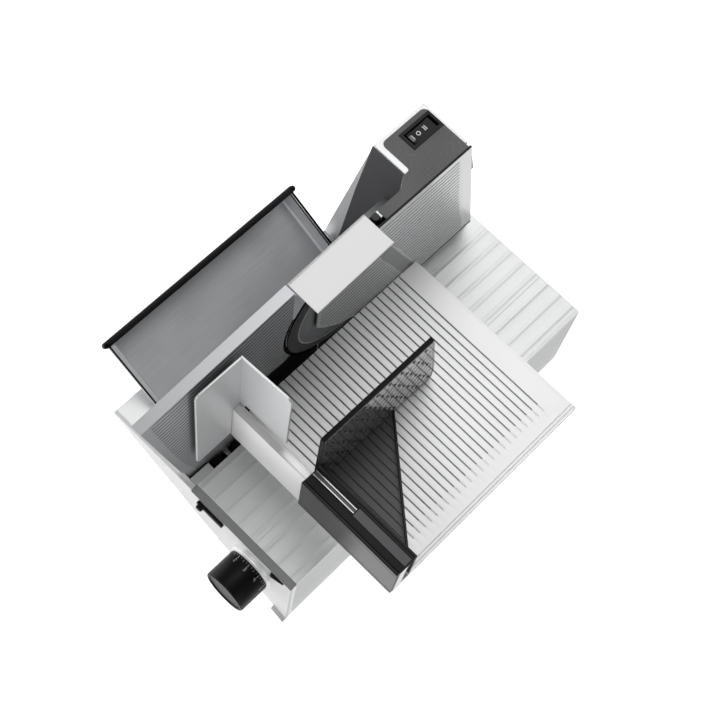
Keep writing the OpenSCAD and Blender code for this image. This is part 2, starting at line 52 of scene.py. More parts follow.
# Base housing
# Blasted and anodised aluminium extrusion with narrow raised beads along its top every 15.75 mm and its right
# wall every 14.6 mm, closed by lacquered plates in front. The beads are thin skins on the CAD housing that
# leave the slot of the sled's stem open, and a small plate closes the gap at its front left corner.
TILT = math.radians(26.6)
COS, SIN = math.cos(TILT), math.sin(TILT)
SHIFT = (-38.45, 29.5, 93.0)


def world(p):
    """Machine millimetres to metres on the floor. The machine's x runs right from the blade, y rearward from
    its axis and z square up from the table: turned by the lean about y, then shifted."""
    p = np.asarray(p, float).reshape(-1, 3)
    return np.column_stack((SHIFT[0] + p[:, 0] * COS - p[:, 2] * SIN, SHIFT[1] + p[:, 1],
                            SHIFT[2] + p[:, 0] * SIN + p[:, 2] * COS)) / 1000


def piece(name, parts, material, body, nodes=(), bevel=0.0, to=world, angle=35):
    """One object of several shells, each a pair of points and faces, with its finish and body. A closed
    mesh gets its faces turned outwards, edges sharper than the angle stay crisp, and bevel rounds them."""
    points, faces, first = [], [], 0
    for p, f in parts:
        p = np.asarray(p, float).reshape(-1, 3)
        points.append(p)
        faces += [tuple(int(corner) + first for corner in face) for face in f]
        first += len(p)
    m = bpy.data.meshes.new(name)
    m.from_pydata(to(np.vstack(points)).tolist(), [], faces)
    shell = bmesh.new()
    shell.from_mesh(m)
    if all(len(e.link_faces) == 2 for e in shell.edges):
        bmesh.ops.recalc_face_normals(shell, faces=shell.faces)
    shell.to_mesh(m)
    shell.free()
    m.shade_smooth()
    m.set_sharp_from_angle(angle=math.radians(angle))
    o = bpy.data.objects.new(name, m)
    bpy.context.scene.collection.objects.link(o)
    m.materials.append(material)
    if bevel:
        b = o.modifiers.new("edge", "BEVEL")
        b.width, b.segments, b.limit_method = bevel / 1000, 3, "ANGLE"
        b.angle_limit, b.harden_normals = math.radians(angle), True
    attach(o, body)
    if nodes:
        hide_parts(*nodes)
    return o


def refinish(o, finishes, numbers):
    """More finishes after the first one, and for each face in order the number of the finish it takes."""
    for f in finishes:
        o.data.materials.append(f)
    every = np.zeros(len(o.data.polygons), np.int32)
    every[:len(numbers)] = numbers
    o.data.polygons.foreach_set("material_index", every)
    o.data.update()


def normals(o):
    """The direction of each face, in the true frame."""
    return np.array([f.normal[:] for f in o.data.polygons])


def prism(shape, a, b, axis):
    """A flat outline drawn along an axis from a to b; it gives the other two coordinates in their order."""
    n, k = len(shape), "xyz".index(axis)
    s = np.asarray(shape, float)
    t = np.roll(s, -1, axis=0)
    if (s[:, 0] * t[:, 1] - t[:, 0] * s[:, 1]).sum() < 0:
        s = s[::-1]
    p = np.zeros((2 * n, 3))
    u, w = [i for i in range(3) if i != k]
    p[:n, u], p[:n, w], p[:n, k] = s[:, 0], s[:, 1], a
    p[n:, u], p[n:, w], p[n:, k] = s[:, 0], s[:, 1], b
    f = [tuple(range(n - 1, -1, -1)), tuple(range(n, 2 * n))]
    f += [(i, (i + 1) % n, n + (i + 1) % n, n + i) for i in range(n)]
    return p, ([q[::-1] for q in f] if k == 1 else f)


def block(lo, hi):
    """A square-edged block between two corners."""
    return prism([(lo[0], lo[1]), (hi[0], lo[1]), (hi[0], hi[1]), (lo[0], hi[1])], lo[2], hi[2], "z")


def linear(h):
    """An sRGB hex colour as the linear colour that the nodes expect."""
    c = [int(h[i:i + 2], 16) / 255 for i in (1, 3, 5)]
    return [x / 12.92 if x <= 0.04045 else ((x + 0.055) / 1.055) ** 2.4 for x in c] + [1.0]


def add(tree, kind, inputs=(), links=(), **settings):
    """One node with its settings, its input values and the sockets that feed it."""
    n = tree.nodes.new(kind)
    for key, value in settings.items():
        setattr(n, key, value)
    for key, value in dict(inputs).items():
        n.inputs[key].default_value = value
    for key, socket in dict(links).items():
        tree.links.new(socket, n.inputs[key])
    return n


def finish_of(name, colour, rough, metallic=0.0, brush=None, grain=0.0, spread=0.05, clear=0.0, alpha=1.0,
              edge=0.0, level=False, strength=0.25, shine=0.5, cells_per_mm=1.6):
    """A surface whose colour and gloss drift with a fine noise of some cells in a millimetre and a wide one
    of 50 mm. Patterns are laid in millimetres and turned back by the lean, unless the piece lies level.
    brush draws the fine noise out to 50 mm streaks along an axis, 0.45 mm wide; spread is the drift of the
    colour; grain and edge are the bump's height and the soft edge's radius in millimetres."""
    m = bpy.data.materials.new(name)
    m.use_nodes = True
    tree = m.node_tree
    tree.nodes.clear()
    where = add(tree, "ShaderNodeTexCoord")
    lean = (0, 0 if level else TILT, 0)
    turn = add(tree, "ShaderNodeMapping", {"Rotation": lean, "Scale": (1000, 1000, 1000)},
               {"Vector": where.outputs["Object"]}).outputs["Vector"]
    coat = turn
    if brush:
        coat = add(tree, "ShaderNodeMapping", {"Scale": [0.02 if c == brush else 2.2 for c in "xyz"]},
                   {"Vector": turn}).outputs["Vector"]
    fine = add(tree, "ShaderNodeTexNoise", {"Scale": 1.0 if brush else cells_per_mm, "Detail": 4.0},
               {"Vector": coat}).outputs["Fac"]
    wide = add(tree, "ShaderNodeTexNoise", {"Scale": 0.02, "Detail": 2.0}, {"Vector": turn}).outputs["Fac"]
    part = add(tree, "ShaderNodeMath", {1: 0.4}, {0: wide}, operation="MULTIPLY").outputs[0]
    drift = add(tree, "ShaderNodeMath", {1: 0.6}, {0: fine, 2: part}, operation="MULTIPLY_ADD").outputs[0]
    tone = linear(colour)[:3]
    dark, light = [c * (1 - 2.2 * spread) for c in tone] + [1], [min(1, c * (1 + spread)) for c in tone] + [1]
    paint = add(tree, "ShaderNodeMix", {6: dark, 7: light}, {0: drift}, data_type="RGBA").outputs[2]
    lowest, highest = max(0.02, rough * 0.85), min(1, rough * 1.15)
    gloss = add(tree, "ShaderNodeMapRange", {"To Min": lowest, "To Max": highest},
                {"Value": fine}).outputs["Result"]
    bsdf = add(tree, "ShaderNodeBsdfPrincipled", {"Metallic": metallic, "Specular IOR Level": shine,
               "Coat Weight": clear, "Coat Roughness": 0.08}, {"Base Color": paint, "Roughness": gloss})
    if alpha < 1:
        bsdf.inputs["Alpha"].default_value = alpha
        bsdf.inputs["IOR"].default_value = 1.49
    last = None
    if edge:
        last = add(tree, "ShaderNodeBevel", {"Radius": edge / 1000}, samples=4).outputs["Normal"]
    if grain:
        feed = {"Height": fine, "Normal": last} if last else {"Height": fine}
        last = add(tree, "ShaderNodeBump", {"Strength": strength, "Distance": grain / 1000},
                   feed).outputs["Normal"]
    if last:
        tree.links.new(last, bsdf.inputs["Normal"])
    add(tree, "ShaderNodeOutputMaterial", links={"Surface": bsdf.outputs["BSDF"]})
    return m


def dress(slot, *finish, **more):
    """The finish of a slot of the record, also put on every CAD node that has this slot."""
    m = finish_of(*finish, **more)
    for part in frame["record"]["subparts"]:
        if part["material_slot"] == slot:
            node = frame["nodes"][part["node"]]
            node.data.materials.clear()
            node.data.materials.append(m)
    return m


# blasted and anodised: an even, faintly grained pale sheen; its side, seen at a slant, and the corner plate
# take a darker copy of it, painted shade
housing_aluminium = dress("housing_aluminium", "bead blasted aluminium housing", "#f0f1f1", 0.46, 0.4,
                          grain=0.05, edge=0.8)
painted_shade_aluminium = finish_of("bead blasted aluminium with painted shade", "#d4d5d5", 0.5, 0.3, grain=0.05, edge=0.5)
# zinc coated sheet and screws: dull metallic grey
dress("bottom_sheet", "galvanised steel sheet", "#a9abad", 0.4, 1.0, spread=0.1, edge=0.3)
dress("screw_steel", "zinc plated screw steel", "#b9bbbd", 0.3, 1.0, edge=0.3)
# sprayed lacquer on the front plates: smooth, half gloss
dress("front_light_grey", "light grey satin lacquer", "#dcdcdc", 0.45, grain=0.03, spread=0.02, edge=0.5)
dress("trim_grey", "grey satin lacquer", "#6c6d6e", 0.42, 0.2, grain=0.03, edge=0.6)
# soft moulded rubber: no gloss
dress("foot_rubber", "black foot rubber", "#1a1a1a", 0.8, grain=0.1)

BASE_Z, BASE_X1, BASE_Y0, BASE_Y1 = -52.0, 134.0, -203.0, 178.0
BASE_LOW, EDGE_R, PROUD, LAP = -160.0, 2.4, 0.03, 0.2
BEAD_FIRST, BEAD_PITCH, BEAD_COUNT, BEAD_HALF, BEAD_HIGH = 14.6, 15.75, 8, 3.4, 0.42
SIDE_FIRST, SIDE_PITCH, SIDE_COUNT, SIDE_HALF, SIDE_HIGH = -67.8, 14.6, 5, 2.2, 0.35
SLOT_X0, SLOT_X1, SLOT_Y0, SLOT_Y1 = 83.6, 94.4, -142.6, 82.6
SKIN_X0, SKIN_X1, SKIN_Y0, SKIN_Y1 = 8.4, 131.8, BASE_Y0 + 4, BASE_Y1 - 0.2


def beads(lo, hi, places, half, high):
    """A line from lo to hi that rises at each place as a squared cosine, half wide to either side."""
    across = np.linspace(-1, 1, 11)
    at = (np.array(places)[:, None] + across * half).ravel()
    up = np.tile(high * np.cos(across * np.pi / 2) ** 2, len(places))
    inside = (lo < at) & (at < hi)
    at, up = np.r_[lo, at[inside], hi], np.r_[0, up[inside], 0]
    order = np.argsort(at)
    return list(zip(at[order], up[order]))


top_places = [BEAD_FIRST + BEAD_PITCH * i for i in range(BEAD_COUNT)]
side_places = [SIDE_FIRST - SIDE_PITCH * i for i in range(SIDE_COUNT)]
skins = []
for x0, x1, y0, y1 in ((SKIN_X0, SLOT_X0, SKIN_Y0, SKIN_Y1), (SLOT_X1, SKIN_X1, SKIN_Y0, SKIN_Y1),
                       (SLOT_X0 - LAP, SLOT_X1 + LAP, SKIN_Y0, SLOT_Y0),
                       (SLOT_X0 - LAP, SLOT_X1 + LAP, SLOT_Y1, SKIN_Y1)):
    over = [(x, BASE_Z + PROUD + up) for x, up in beads(x0, x1, top_places, BEAD_HALF, BEAD_HIGH)]
    skins.append(prism([(x0, BASE_Z - 0.5)] + over + [(x1, BASE_Z - 0.5)], y0, y1, "y"))
arc = [(BASE_X1 - EDGE_R + (EDGE_R + 0.1) * math.sin(a), BASE_Z - EDGE_R + (EDGE_R + PROUD) * math.cos(a))
       for a in np.linspace(0.1, 1.5, 8)]
side = [(BASE_X1 + PROUD + up, z) for z, up in
        beads(BASE_LOW, BASE_Z - EDGE_R - 0.2, side_places, SIDE_HALF, SIDE_HIGH)]
inside = [(BASE_X1 - 2.5, BASE_Z - 1), (BASE_X1 - 0.5, BASE_Z - 1), (BASE_X1 - 0.5, BASE_LOW)]
skins.append(prism(inside + side + arc[::-1] + [(BASE_X1 - 2.5, BASE_Z + PROUD)], SKIN_Y0, SKIN_Y1, "y"))
base_beads = piece("base_beads", skins, housing_aluminium, "base", angle=30)
# the right wall's faces take the darker copy: painted shade
refinish(base_beads, [painted_shade_aluminium], normals(base_beads)[:, 0] > 0.7)
# the corner plate in the darker copy too: painted shade
piece("bay_corner", [block((0.4, BASE_Y0 + 3.2, BASE_Z - 0.9), (8.6, BASE_Y0 + 25, BASE_Z - 0.2))],
      painted_shade_aluminium, "base", bevel=0.2)

# Drive and guides
# The motor lies in the tower and turns the blade through a worm; the sled and the gauge run on ground rods.
# All of it is in the CAD solids, which only take their finishes here.

# cast arm: dull and slightly rough from the mould
dress("arm_casting", "fine grey casting", "#9a9b9c", 0.6, 0.7, grain=0.2, spread=0.1, edge=0.8)
# pressed bronze bushes, plated motor can, lacquered copper winding
dress("bearing_bronze", "sintered bronze", "#b08a4e", 0.45, 1.0, spread=0.1)
dress("motor_steel", "grey zinc motor can", "#77797c", 0.4, 0.9, edge=0.5)
dress("rotor_copper", "varnished copper winding", "#9a5b33", 0.35, 0.8, spread=0.2)
# turned plastic cam: milky white; ground rods: bright with lines along them; black moulded guides
dress("cam_plastic", "natural acetal", "#dcd8c8", 0.45, edge=0.5)
dress("rod_steel", "ground guide rod steel", "#d5d7d9", 0.14, 1.0, brush="x", edge=0.3)
dress("guide_black", "black guide moulding", "#080808", 0.5, grain=0.06, edge=0.6, shine=0.25)

# Tower top
# Anodised tower with a silver frame round its top on three sides. The grained dark plastic panel inside it
# has rounded corners and runs forward over the narrow strip to the hood. Thin dark grey skins over the
# tower's recessed front and the curved gusset under the strip are painted shade.
TOP, FRONT_Y, REAR_Y = 158.0, 61.0, 121.0
STRIP_X, STRIP_Y, PANEL_REAR = -10.1, 20.2, 118.9
WELL_X0, WELL_X1, WELL_Y0, WELL_Y1 = -45.6, -28.9, 83.8, 118.2


def rounded(points, radii, steps=6):
    """The outline with each corner turned into a blended curve that leaves and meets the sides smoothly."""
    out, n = [], len(points)
    for i, r in enumerate(radii):
        p = np.array(points[i], float)
        if not r:
            out.append(tuple(p))
            continue
        a, b = np.array(points[i - 1], float) - p, np.array(points[(i + 1) % n], float) - p
        a, b = p + a / np.linalg.norm(a) * r, p + b / np.linalg.norm(b) * r
        t = np.linspace(0, 1, steps)[:, None]
        curve = (1 - t) ** 2 * a + 1.6 * t * (1 - t) * p + 0.4 * t * (1 - t) * (a + b) / 2 + t * t * b
        out += [tuple(q) for q in curve]
    return out


# anodised: clean pale metal; moulded panel: dark with a coarse leather grain of about 2 mm, drawn a little
# coarser than it is; black mouldings of switch and slider; the recessed front and gusset: flat dark grey,
# painted shade
tower_aluminium = dress("tower_aluminium", "silver anodised tower", "#dedfe0", 0.42, 0.5, grain=0.03,
                        edge=1.0)
panel_dark_grey = dress("panel_dark_grey", "grained dark grey panel", "#6a6a6b", 0.55, grain=0.4, spread=0.3,
                        edge=0.4, shine=0.4, cells_per_mm=0.55, strength=0.5)
switch_black = dress("switch_black", "matt black moulding", "#0b0b0b", 0.5, grain=0.08, edge=0.5, shine=0.25)
painted_tower_shade = finish_of("painted shade on the recessed tower front", "#4c4c4e", 0.5, 0.2, grain=0.05, spread=0.1,
                        shine=0.3)
gusset = [(-17.1, 58), (-13.9, 53), (-11.1, 49.4), (STRIP_X, 45)]
inner = rounded([(-3.6, PANEL_REAR), (-51, PANEL_REAR), (-51, 66.6), (-17.6, 66.6), (-17.9, 60.8)] + gusset,
                [0, 5, 5, 3, 1, 0, 0, 0, 0])
panel = [(0.5, PANEL_REAR)] + inner + [(STRIP_X, STRIP_Y), (0.5, STRIP_Y)]
rim = rounded([(-3.6, REAR_Y), (-54, REAR_Y), (-54, FRONT_Y), (-18, FRONT_Y)], [0, 2.5, 2.5, 0])
piece("tower_frame", [prism(rim + inner[:-len(gusset)][::-1], TOP - 1.1, TOP + 0.15, "z")], tower_aluminium,
      "base", bevel=0.3)
# a thin dark grey skin over the tower's front: painted shade
front_face = [(-54.9, TOP - 1.6), (-64.6, 69), (-72.6, -20), (-75.6, -51.4), (-10.4, -51.4), (-10.4, 111),
              (-18.2, 120), (-18.2, TOP - 1.6)]
piece("tower_front_shade", [prism(front_face, FRONT_Y - 0.3, FRONT_Y + 0.2, "y")], painted_tower_shade, "base",
      bevel=0.2)
# the gusset's faces in the same dark grey: painted shade
bend = [(-10, 20), (-10, 45), (-11.2, 49.4), (-14, 53), (-17.2, 58), (-18, 60.6)]
outside = [(x - 0.35, y - 0.2) for x, y in bend[::-1]]
brace = [(40, 125.2), (60.6, 112.6), (60.6, 141), (40, 141)]
piece("gusset_shade", [prism(bend + outside, TOP - 17.8, TOP - 1.2, "z"), prism(brace, -10.3, -10, "x")],
      painted_tower_shade, "base")
# the panel's outline is cut open from its nearest point to the switch's well, so that one face holds the hole
near = min(range(len(panel)), key=lambda i: math.hypot(panel[i][0] - WELL_X0, panel[i][1] - WELL_Y1))
well = [(WELL_X0, WELL_Y1), (WELL_X1, WELL_Y1), (WELL_X1, WELL_Y0), (WELL_X0, WELL_Y0), (WELL_X0, WELL_Y1)]
piece("top_panel", [prism(panel[:near + 1] + well + panel[near:], TOP - 1.15, TOP + 0.1, "z")],
      panel_dark_grey, "base", ["tower_top_panel"])
piece("panel_edge", [block((0.3, 5.6, TOP - 0.9), (2.15, 120.8, TOP + 0.12))], switch_black, "base")

# Rocker switch
# Curved rocker of moulded black plastic that clips in on its cross pin, with a light grey pad at its I end,
# a painted reflection, and the marks I, O and II raised in white across it.
ROCKER_Y, ROCKER_X0, ROCKER_X1, ROCKER_HALF, SAG = 101.0, -43.2, -31.3, 13.0, 1.1
PIN_Z, PIN_R, MARK_Z, MARK_X0, MARK_X1, MARK_HALF = 152.0, 1.25, 157.15, -39.6, -35.0, 0.35


def lathe(profile, centre, axis, turns=96):
    """A profile of pairs, place along the axis and radius, turned round the axis. At an angle a the other
    two coordinates are the centre's plus radius times cos a and radius times sin a."""
    k = "xyz".index(axis)
    u, w = [i for i in range(3) if i != k]
    t, r = np.array(profile, float).T[:, :, None]
    a = np.arange(turns) * 2 * np.pi / turns
    p = np.zeros((len(profile), turns, 3))
    p[:, :, k], p[:, :, u], p[:, :, w] = t, centre[0] + r * np.cos(a), centre[1] + r * np.sin(a)
    i, j = np.mgrid[:len(profile) - 1, :turns]
    after = (j + 1) % turns
    f = np.stack((i * turns + j, i * turns + after, (i + 1) * turns + after, (i + 1) * turns + j), -1)
    if (profile[0][0] < profile[-1][0]) == (k == 1):
        f = f[..., ::-1]
    return p.reshape(-1, 3), f.reshape(-1, 4)


# moulded and polished by thumbs: satin black, a grey pad that is a painted reflection, opaque white print
rocker_black = dress("rocker_black", "satin black rocker", "#060606", 0.4, edge=0.3, shine=0.2)
pad_painted_reflection = finish_of("grey rocker pad with painted reflection", "#6a6a6b", 0.35, spread=0.08, edge=0.4)
print_white = finish_of("white printed mark", "#e9e9e9", 0.5, spread=0.02)
dish = [(y, TOP - 0.55 - SAG * math.cos((y - ROCKER_Y) / ROCKER_HALF * math.pi / 2))
        for y in np.linspace(ROCKER_Y - ROCKER_HALF, ROCKER_Y + ROCKER_HALF, 15)]
belly = [(114.1, 156.2), (113.4, 152.5), (105, 150.4), (97, 150.4), (88.6, 152.5)]
pin = [(ROCKER_X0 - 1.2, 0.02), (ROCKER_X0 - 1.2, PIN_R), (ROCKER_X1 + 1.2, PIN_R), (ROCKER_X1 + 1.2, 0.02)]
piece("rocker_body", [prism([(87.9, 156.2)] + dish + belly, ROCKER_X0, ROCKER_X1, "x"),
                      lathe(pin, (ROCKER_Y, PIN_Z), "x", 24)],
      rocker_black, "rocker", ["switch_rocker"], bevel=0.4)
# the pad's light grey: a painted reflection
pad = [(y, z + 0.12) for y, z in dish if y < 93.4]
piece("rocker_pad", [prism(pad + [(93, 155), (88, 155)], -40.6, -33.8, "x")], pad_painted_reflection, "rocker",
      bevel=0.5)
bars = [block((MARK_X0, y - MARK_HALF, MARK_Z - 1), (MARK_X1, y + MARK_HALF, MARK_Z + up))
        for y, up in ((91.2, 0.25), (104.3, 0.2), (106.0, 0.25))]
circle = [(MARK_Z - 1.6, 1.35), (MARK_Z - 0.2, 1.35), (MARK_Z - 0.2, 2.1), (MARK_Z - 1.6, 2.1)]
piece("rocker_marks", bars + [lathe(circle, (-37.3, 97.6), "z", 32)], print_white, "rocker")

# Side cover
# Polished aluminium sheet with pressed ribs every 7.35 mm, a smooth slanting band, a plain top and a plain
# rear margin, held by a knurled screw. The ribs are a skin just proud of the CAD sheet.
COVER_FACE, COVER_RIB, COVER_RIB_HIGH, COVER_LOW, COVER_HIGH = 2.0, 7.35, 0.5, -29.0, 155.0
PLAIN_TOP, REAR_MARGIN, COVER_LEAN = 150.0, 11.0, 0.218
BAND_Y, BAND_Z, BAND_SLOPE, BAND_HALF = 29.0, 87.0, 0.46, 8.0
COVER_STEPS, RIB_STEPS = 60, 8


def smooth(t):
    """0 below 0, 1 above 1, and 3 t squared less 2 t cubed between them."""
    t = np.clip(t, 0, 1)
    return t * t * (3 - 2 * t)


def grid(p, flip=False):
    """A surface of four-sided faces through an array of points, rows by columns; flip turns it over."""
    n, m = p.shape[:2]
    i, j = np.mgrid[:n - 1, :m - 1]
    f = np.stack((i * m + j, i * m + j + 1, (i + 1) * m + j + 1, (i + 1) * m + j), -1)
    return p.reshape(-1, 3), (f[..., ::-1] if flip else f).reshape(-1, 4)


def from_band(y, z):
    """How far a place of the cover lies from the middle of its slanting band, along y."""
    return abs(y - (BAND_Y + (BAND_Z - z) * BAND_SLOPE))


# rolled and polished: silky with faint lines along it; the grooves are darker, painted shade, and the plain
# band is darker than the ribs, a painted dark reflection; turned plastic screw: dull black
cover_polished = dress("cover_polished", "ribbed polished aluminium", "#d2d3d4", 0.3, 0.55, brush="y",
                       grain=0.01, edge=0.3)
cover_painted_shade = finish_of("painted shade in grooves and at the cover's foot", "#727274", 0.5, spread=0.05, shine=0.3)
cover_band = finish_of("shaded plain band of the cover", "#9a9b9c", 0.38, 0.4, brush="y", spread=0.05,
                       shine=0.3)
dress("knurl_black", "black knurled plastic", "#0b0b0b", 0.5, edge=0.2)
# each row runs from the leading edge to the rear one; the ribs follow the absolute value of a sine, eased to
# nothing at the band, the two edges and the plain top
h = np.arange(COVER_LOW, COVER_HIGH, COVER_RIB / RIB_STEPS)[:, None]
t = np.linspace(0, 1, COVER_STEPS)
lead = np.interp(h, (-30, -8, 1, 12.5, 21.5, 36, 44.5, 55), (5, 5, -4, -20, -28, -40, -46, -52.5)) + 0.8
rear = REAR_Y + (TOP - h) * COVER_LEAN - 0.8
y = lead + (rear - lead) * t
ribbed = (smooth((from_band(y, h) - BAND_HALF) / 2) * smooth((y - lead) / 2)
          * smooth((rear - REAR_MARGIN - y) / 2) * smooth((PLAIN_TOP - h) / 3))
rise = COVER_RIB_HIGH * abs(np.sin(np.pi * (h - COVER_LOW) / COVER_RIB)) ** 0.8
z = h + 0.02 * (y - 30) * smooth((PLAIN_TOP - h) / 20)
cover_ribs = piece("cover_ribs", [grid(np.stack((COVER_FACE + PROUD + rise * ribbed, y, z), -1))],
                   cover_polished, "base", angle=25)
# the rows in the grooves between ribs take the darker finish: painted shade
row, column = np.mgrid[:len(h) - 1, :COVER_STEPS - 1]
share = (column + 0.5) / (COVER_STEPS - 1)
plain = (from_band(y, z)[:-1, :-1] < BAND_HALF + 0.5) | (z[:-1, :-1] > PLAIN_TOP - 1)
plain |= (share > 0.92) | (share < 0.02)
refinish(cover_ribs, [cover_painted_shade], (np.isin(row % RIB_STEPS, (7, 0)) & ~plain).ravel())
corners = ((-28, 7.6), (PLAIN_TOP, 7.6), (PLAIN_TOP, -7.6), (-28, -7.6))
strip = [(BAND_Y + (BAND_Z - z) * BAND_SLOPE + out, z) for z, out in corners]
# the plain band: a sheet of darker grey over the cover, a painted dark reflection
piece("cover_band", [prism(strip, COVER_FACE, COVER_FACE + 0.1, "x")], cover_band, "base")
# a dark line along the cover's foot on the base: painted shade
piece("cover_foot_shade", [block((1.0, 60, -30.4), (2.5, 161.3, -29.2))], cover_painted_shade, "base")

# Blade
# Ground stainless disc: a dished middle, a fine step whose bright line is a painted highlight, a flat ring,
# and a dark bevel out to the edge, a painted dark reflection. A dull black ring behind its rim closes the
# view through the cut-out: painted shade.
BLADE_Z, BLADE_R, BORE_R, BLADE_T = 71.0, 85.0, 4.1, 1.5
LINE_R0, LINE_R1 = 72.0, 73.6

# ground and left dull; the bevel's dark colour is a painted reflection; the black behind the rim is painted
# shade
blade_steel = dress("blade_steel", "ground stainless blade", "#7b7d80", 0.38, 0.9, spread=0.04)
bevel_painted_reflection = finish_of("ground bevel with painted dark reflection", "#222224", 0.4, 0.3, spread=0.03, shine=0.25)
ring_painted_highlight = finish_of("painted highlight on the blade's step", "#c8c9ca", 0.35, 0.6, spread=0.03)
black_and_painted_shade = finish_of("matt black, also painted shade", "#030303", 0.7, shine=0.05)
bevel = [(-BLADE_T, BORE_R), (-BLADE_T, 81), (-0.9, BLADE_R), (-0.88, BLADE_R), (-0.02, 77.5), (0, 77.2)]
step = [(0, 73.5), (0.2, 73.1), (0.2, 72.6), (0, 72.2)]
dished = [(0, 63), (-0.05, 62.6), (-0.5, 61), (-0.55, 60.6), (-0.55, BORE_R), (-BLADE_T, BORE_R)]
blade = piece("blade_disc", [lathe((bevel + step + dished)[::-1], (0, BLADE_Z), "x", 180)], blade_steel,
              "blade", ["slicing_blade"], angle=12)
# a black ring behind the blade's rim: painted shade
back = [(-1, 76), (-1, 84.9), (-2.4, 84.9), (-2.4, 76), (-1, 76)]
piece("blade_back_shade", [lathe(back, (0, BLADE_Z), "x", 180)], black_and_painted_shade, "blade")
# the bevel takes a dark finish, a painted reflection, and the step a bright one, a painted highlight
middles = np.array([f.center[:] for f in blade.data.polygons]) * 1000 - SHIFT
out = np.hypot(middles[:, 1], middles[:, 2] * COS - middles[:, 0] * SIN - BLADE_Z)
refinish(blade, [bevel_painted_reflection, ring_painted_highlight], np.where(out > LINE_R1, 1, np.where(out > LINE_R0, 2, 0)))

# Blade hood
# Folded sheet over the blade, sprayed off white, with crisp but softened edges and a small flange in front.
# It is held by a black tongue on the drive cover.
HOOD_X0, HOOD_X1, HOOD_Y0, HOOD_Y1, HOOD_T, HOOD_SIDE = -12.2, 22.3, -80.3, 5.0, 1.6, 8.5
HOOD_Z, HOOD_RISE = 169.0, 0.084


def hood_line(y):
    """Height of the line that the hood and the gauge's top edge share: 169 mm at the hood's rear end, falling
    by 0.084 mm for each millimetre forward."""
    return HOOD_Z + HOOD_RISE * (y - HOOD_Y1)


# sprayed lacquer: nearly white, soft gloss
hood_white = dress("hood_white", "off white lacquered hood", "#fbfbfb", 0.4, grain=0.03, spread=0.01,
                   edge=0.8)
sheet, flank = [[(HOOD_Y0, hood_line(-80) - low), (HOOD_Y0, hood_line(-80)), (HOOD_Y1, hood_line(HOOD_Y1)),
                 (HOOD_Y1, hood_line(HOOD_Y1) - low)] for low in (HOOD_T, HOOD_SIDE)]
flange = block((HOOD_X0, HOOD_Y0, hood_line(-80) - 7), (-2.2, HOOD_Y0 + 1.3, hood_line(-80) - 0.2))
piece("hood_shell", [prism(sheet, HOOD_X0, HOOD_X1, "x"), prism(flank, HOOD_X0, HOOD_X0 + 2.5, "x"), flange],
      hood_white, "base", ["blade_hood"], bevel=0.6)
piece("hood_tongue", [block((-9.9, -6, 157.6), (-3.5, 4.9, 167.6)), block((-9.9, 4, 146), (-3.5, 18, TOP))],
      switch_black, "base", bevel=0.4)

# Gauge plate
# Drawn aluminium plate with rounded ribs every 7 mm on its right face, parallel to its sloping top edge,
# between the leaning front edge and the round cut-out for the blade. Matt black in the cut-out and on the
# foot of the face near the table is painted shade.
GAUGE_FACE, GAUGE_RIB, GAUGE_RIB_HIGH, GAUGE_STEPS, CUTOUT_R = -2.0, 7.0, 0.62, 22, 89.0
GAUGE_TOP, GAUGE_LOW, CUTOUT_SHADE_R, CUTOUT_SHADE_X0, CUTOUT_SHADE_X1 = 3.5, 238.0, 88.6, -12.4, -1.9


def gauge_ends(h):
    """Front and rear end of the face along y at a depth h under the top edge. A few rounds read each edge's
    place at the height of the last guess; beside the blade the rear edge is the cut-out's circle."""
    y0, y1 = np.full(h.shape, -230.0), np.full(h.shape, -80.5)
    for _ in range(6):
        y0 = np.interp(hood_line(y0) - h, (-82, -46, -20, 148), (-196.5, -199, -208.5, -245))
        z = hood_line(y1) - h
        y1 = np.interp(z, (-82, 0, 40, 150), (-40.3, -40.3, -80.5, -80.5))
        chord = np.sqrt(np.maximum(0, CUTOUT_R ** 2 - (z - BLADE_Z) ** 2))
        y1 = np.where(abs(z - BLADE_Z) < CUTOUT_R, np.minimum(y1, -chord), y1)
        y1 = np.where(z > 151, np.minimum(y1, -81.5), y1)
    return y0 + 0.7, y1 - 0.7


# drawn and anodised: satin grey with lines along y; the grooves between the ribs are dark, painted shade
gauge_aluminium = dress("gauge_aluminium", "anodised gauge aluminium", "#b9babc", 0.36, 0.6, brush="y",
                        grain=0.015, edge=0.6)
gauge_groove_shade = finish_of("painted shade in the gauge's grooves", "#515153", 0.5, spread=0.05, shine=0.3)
h = np.arange(GAUGE_TOP, GAUGE_LOW, GAUGE_RIB / RIB_STEPS)[:, None]
t = np.linspace(0, 1, GAUGE_STEPS)
y0, y1 = gauge_ends(h)
y = y0 + (y1 - y0) * t
rise = GAUGE_RIB_HIGH * abs(np.sin(np.pi * (h - GAUGE_TOP) / GAUGE_RIB)) ** 0.8
x = GAUGE_FACE + PROUD + rise * smooth(6 * t) * smooth(30 * (1 - t))
gauge_ribs = piece("gauge_ribs", [grid(np.stack((x, y, hood_line(y) - h), -1))], gauge_aluminium, "gauge",
                   angle=25)
# the rows at the ribs' valleys take the dark finish: painted shade
row, column = np.mgrid[:len(h) - 1, :GAUGE_STEPS - 1]
refinish(gauge_ribs, [gauge_groove_shade], (np.isin(row % RIB_STEPS, (6, 7, 0)) & (column > 0)).ravel())


def round_blade(x, r, a):
    """Points at a place along x, a radius r and an angle a: y is r cos a, and z is the blade axis's height
    plus r sin a."""
    x, r, a = np.broadcast_arrays(x, r, a)
    return np.stack((x, r * np.cos(a), BLADE_Z + r * np.sin(a)), -1)


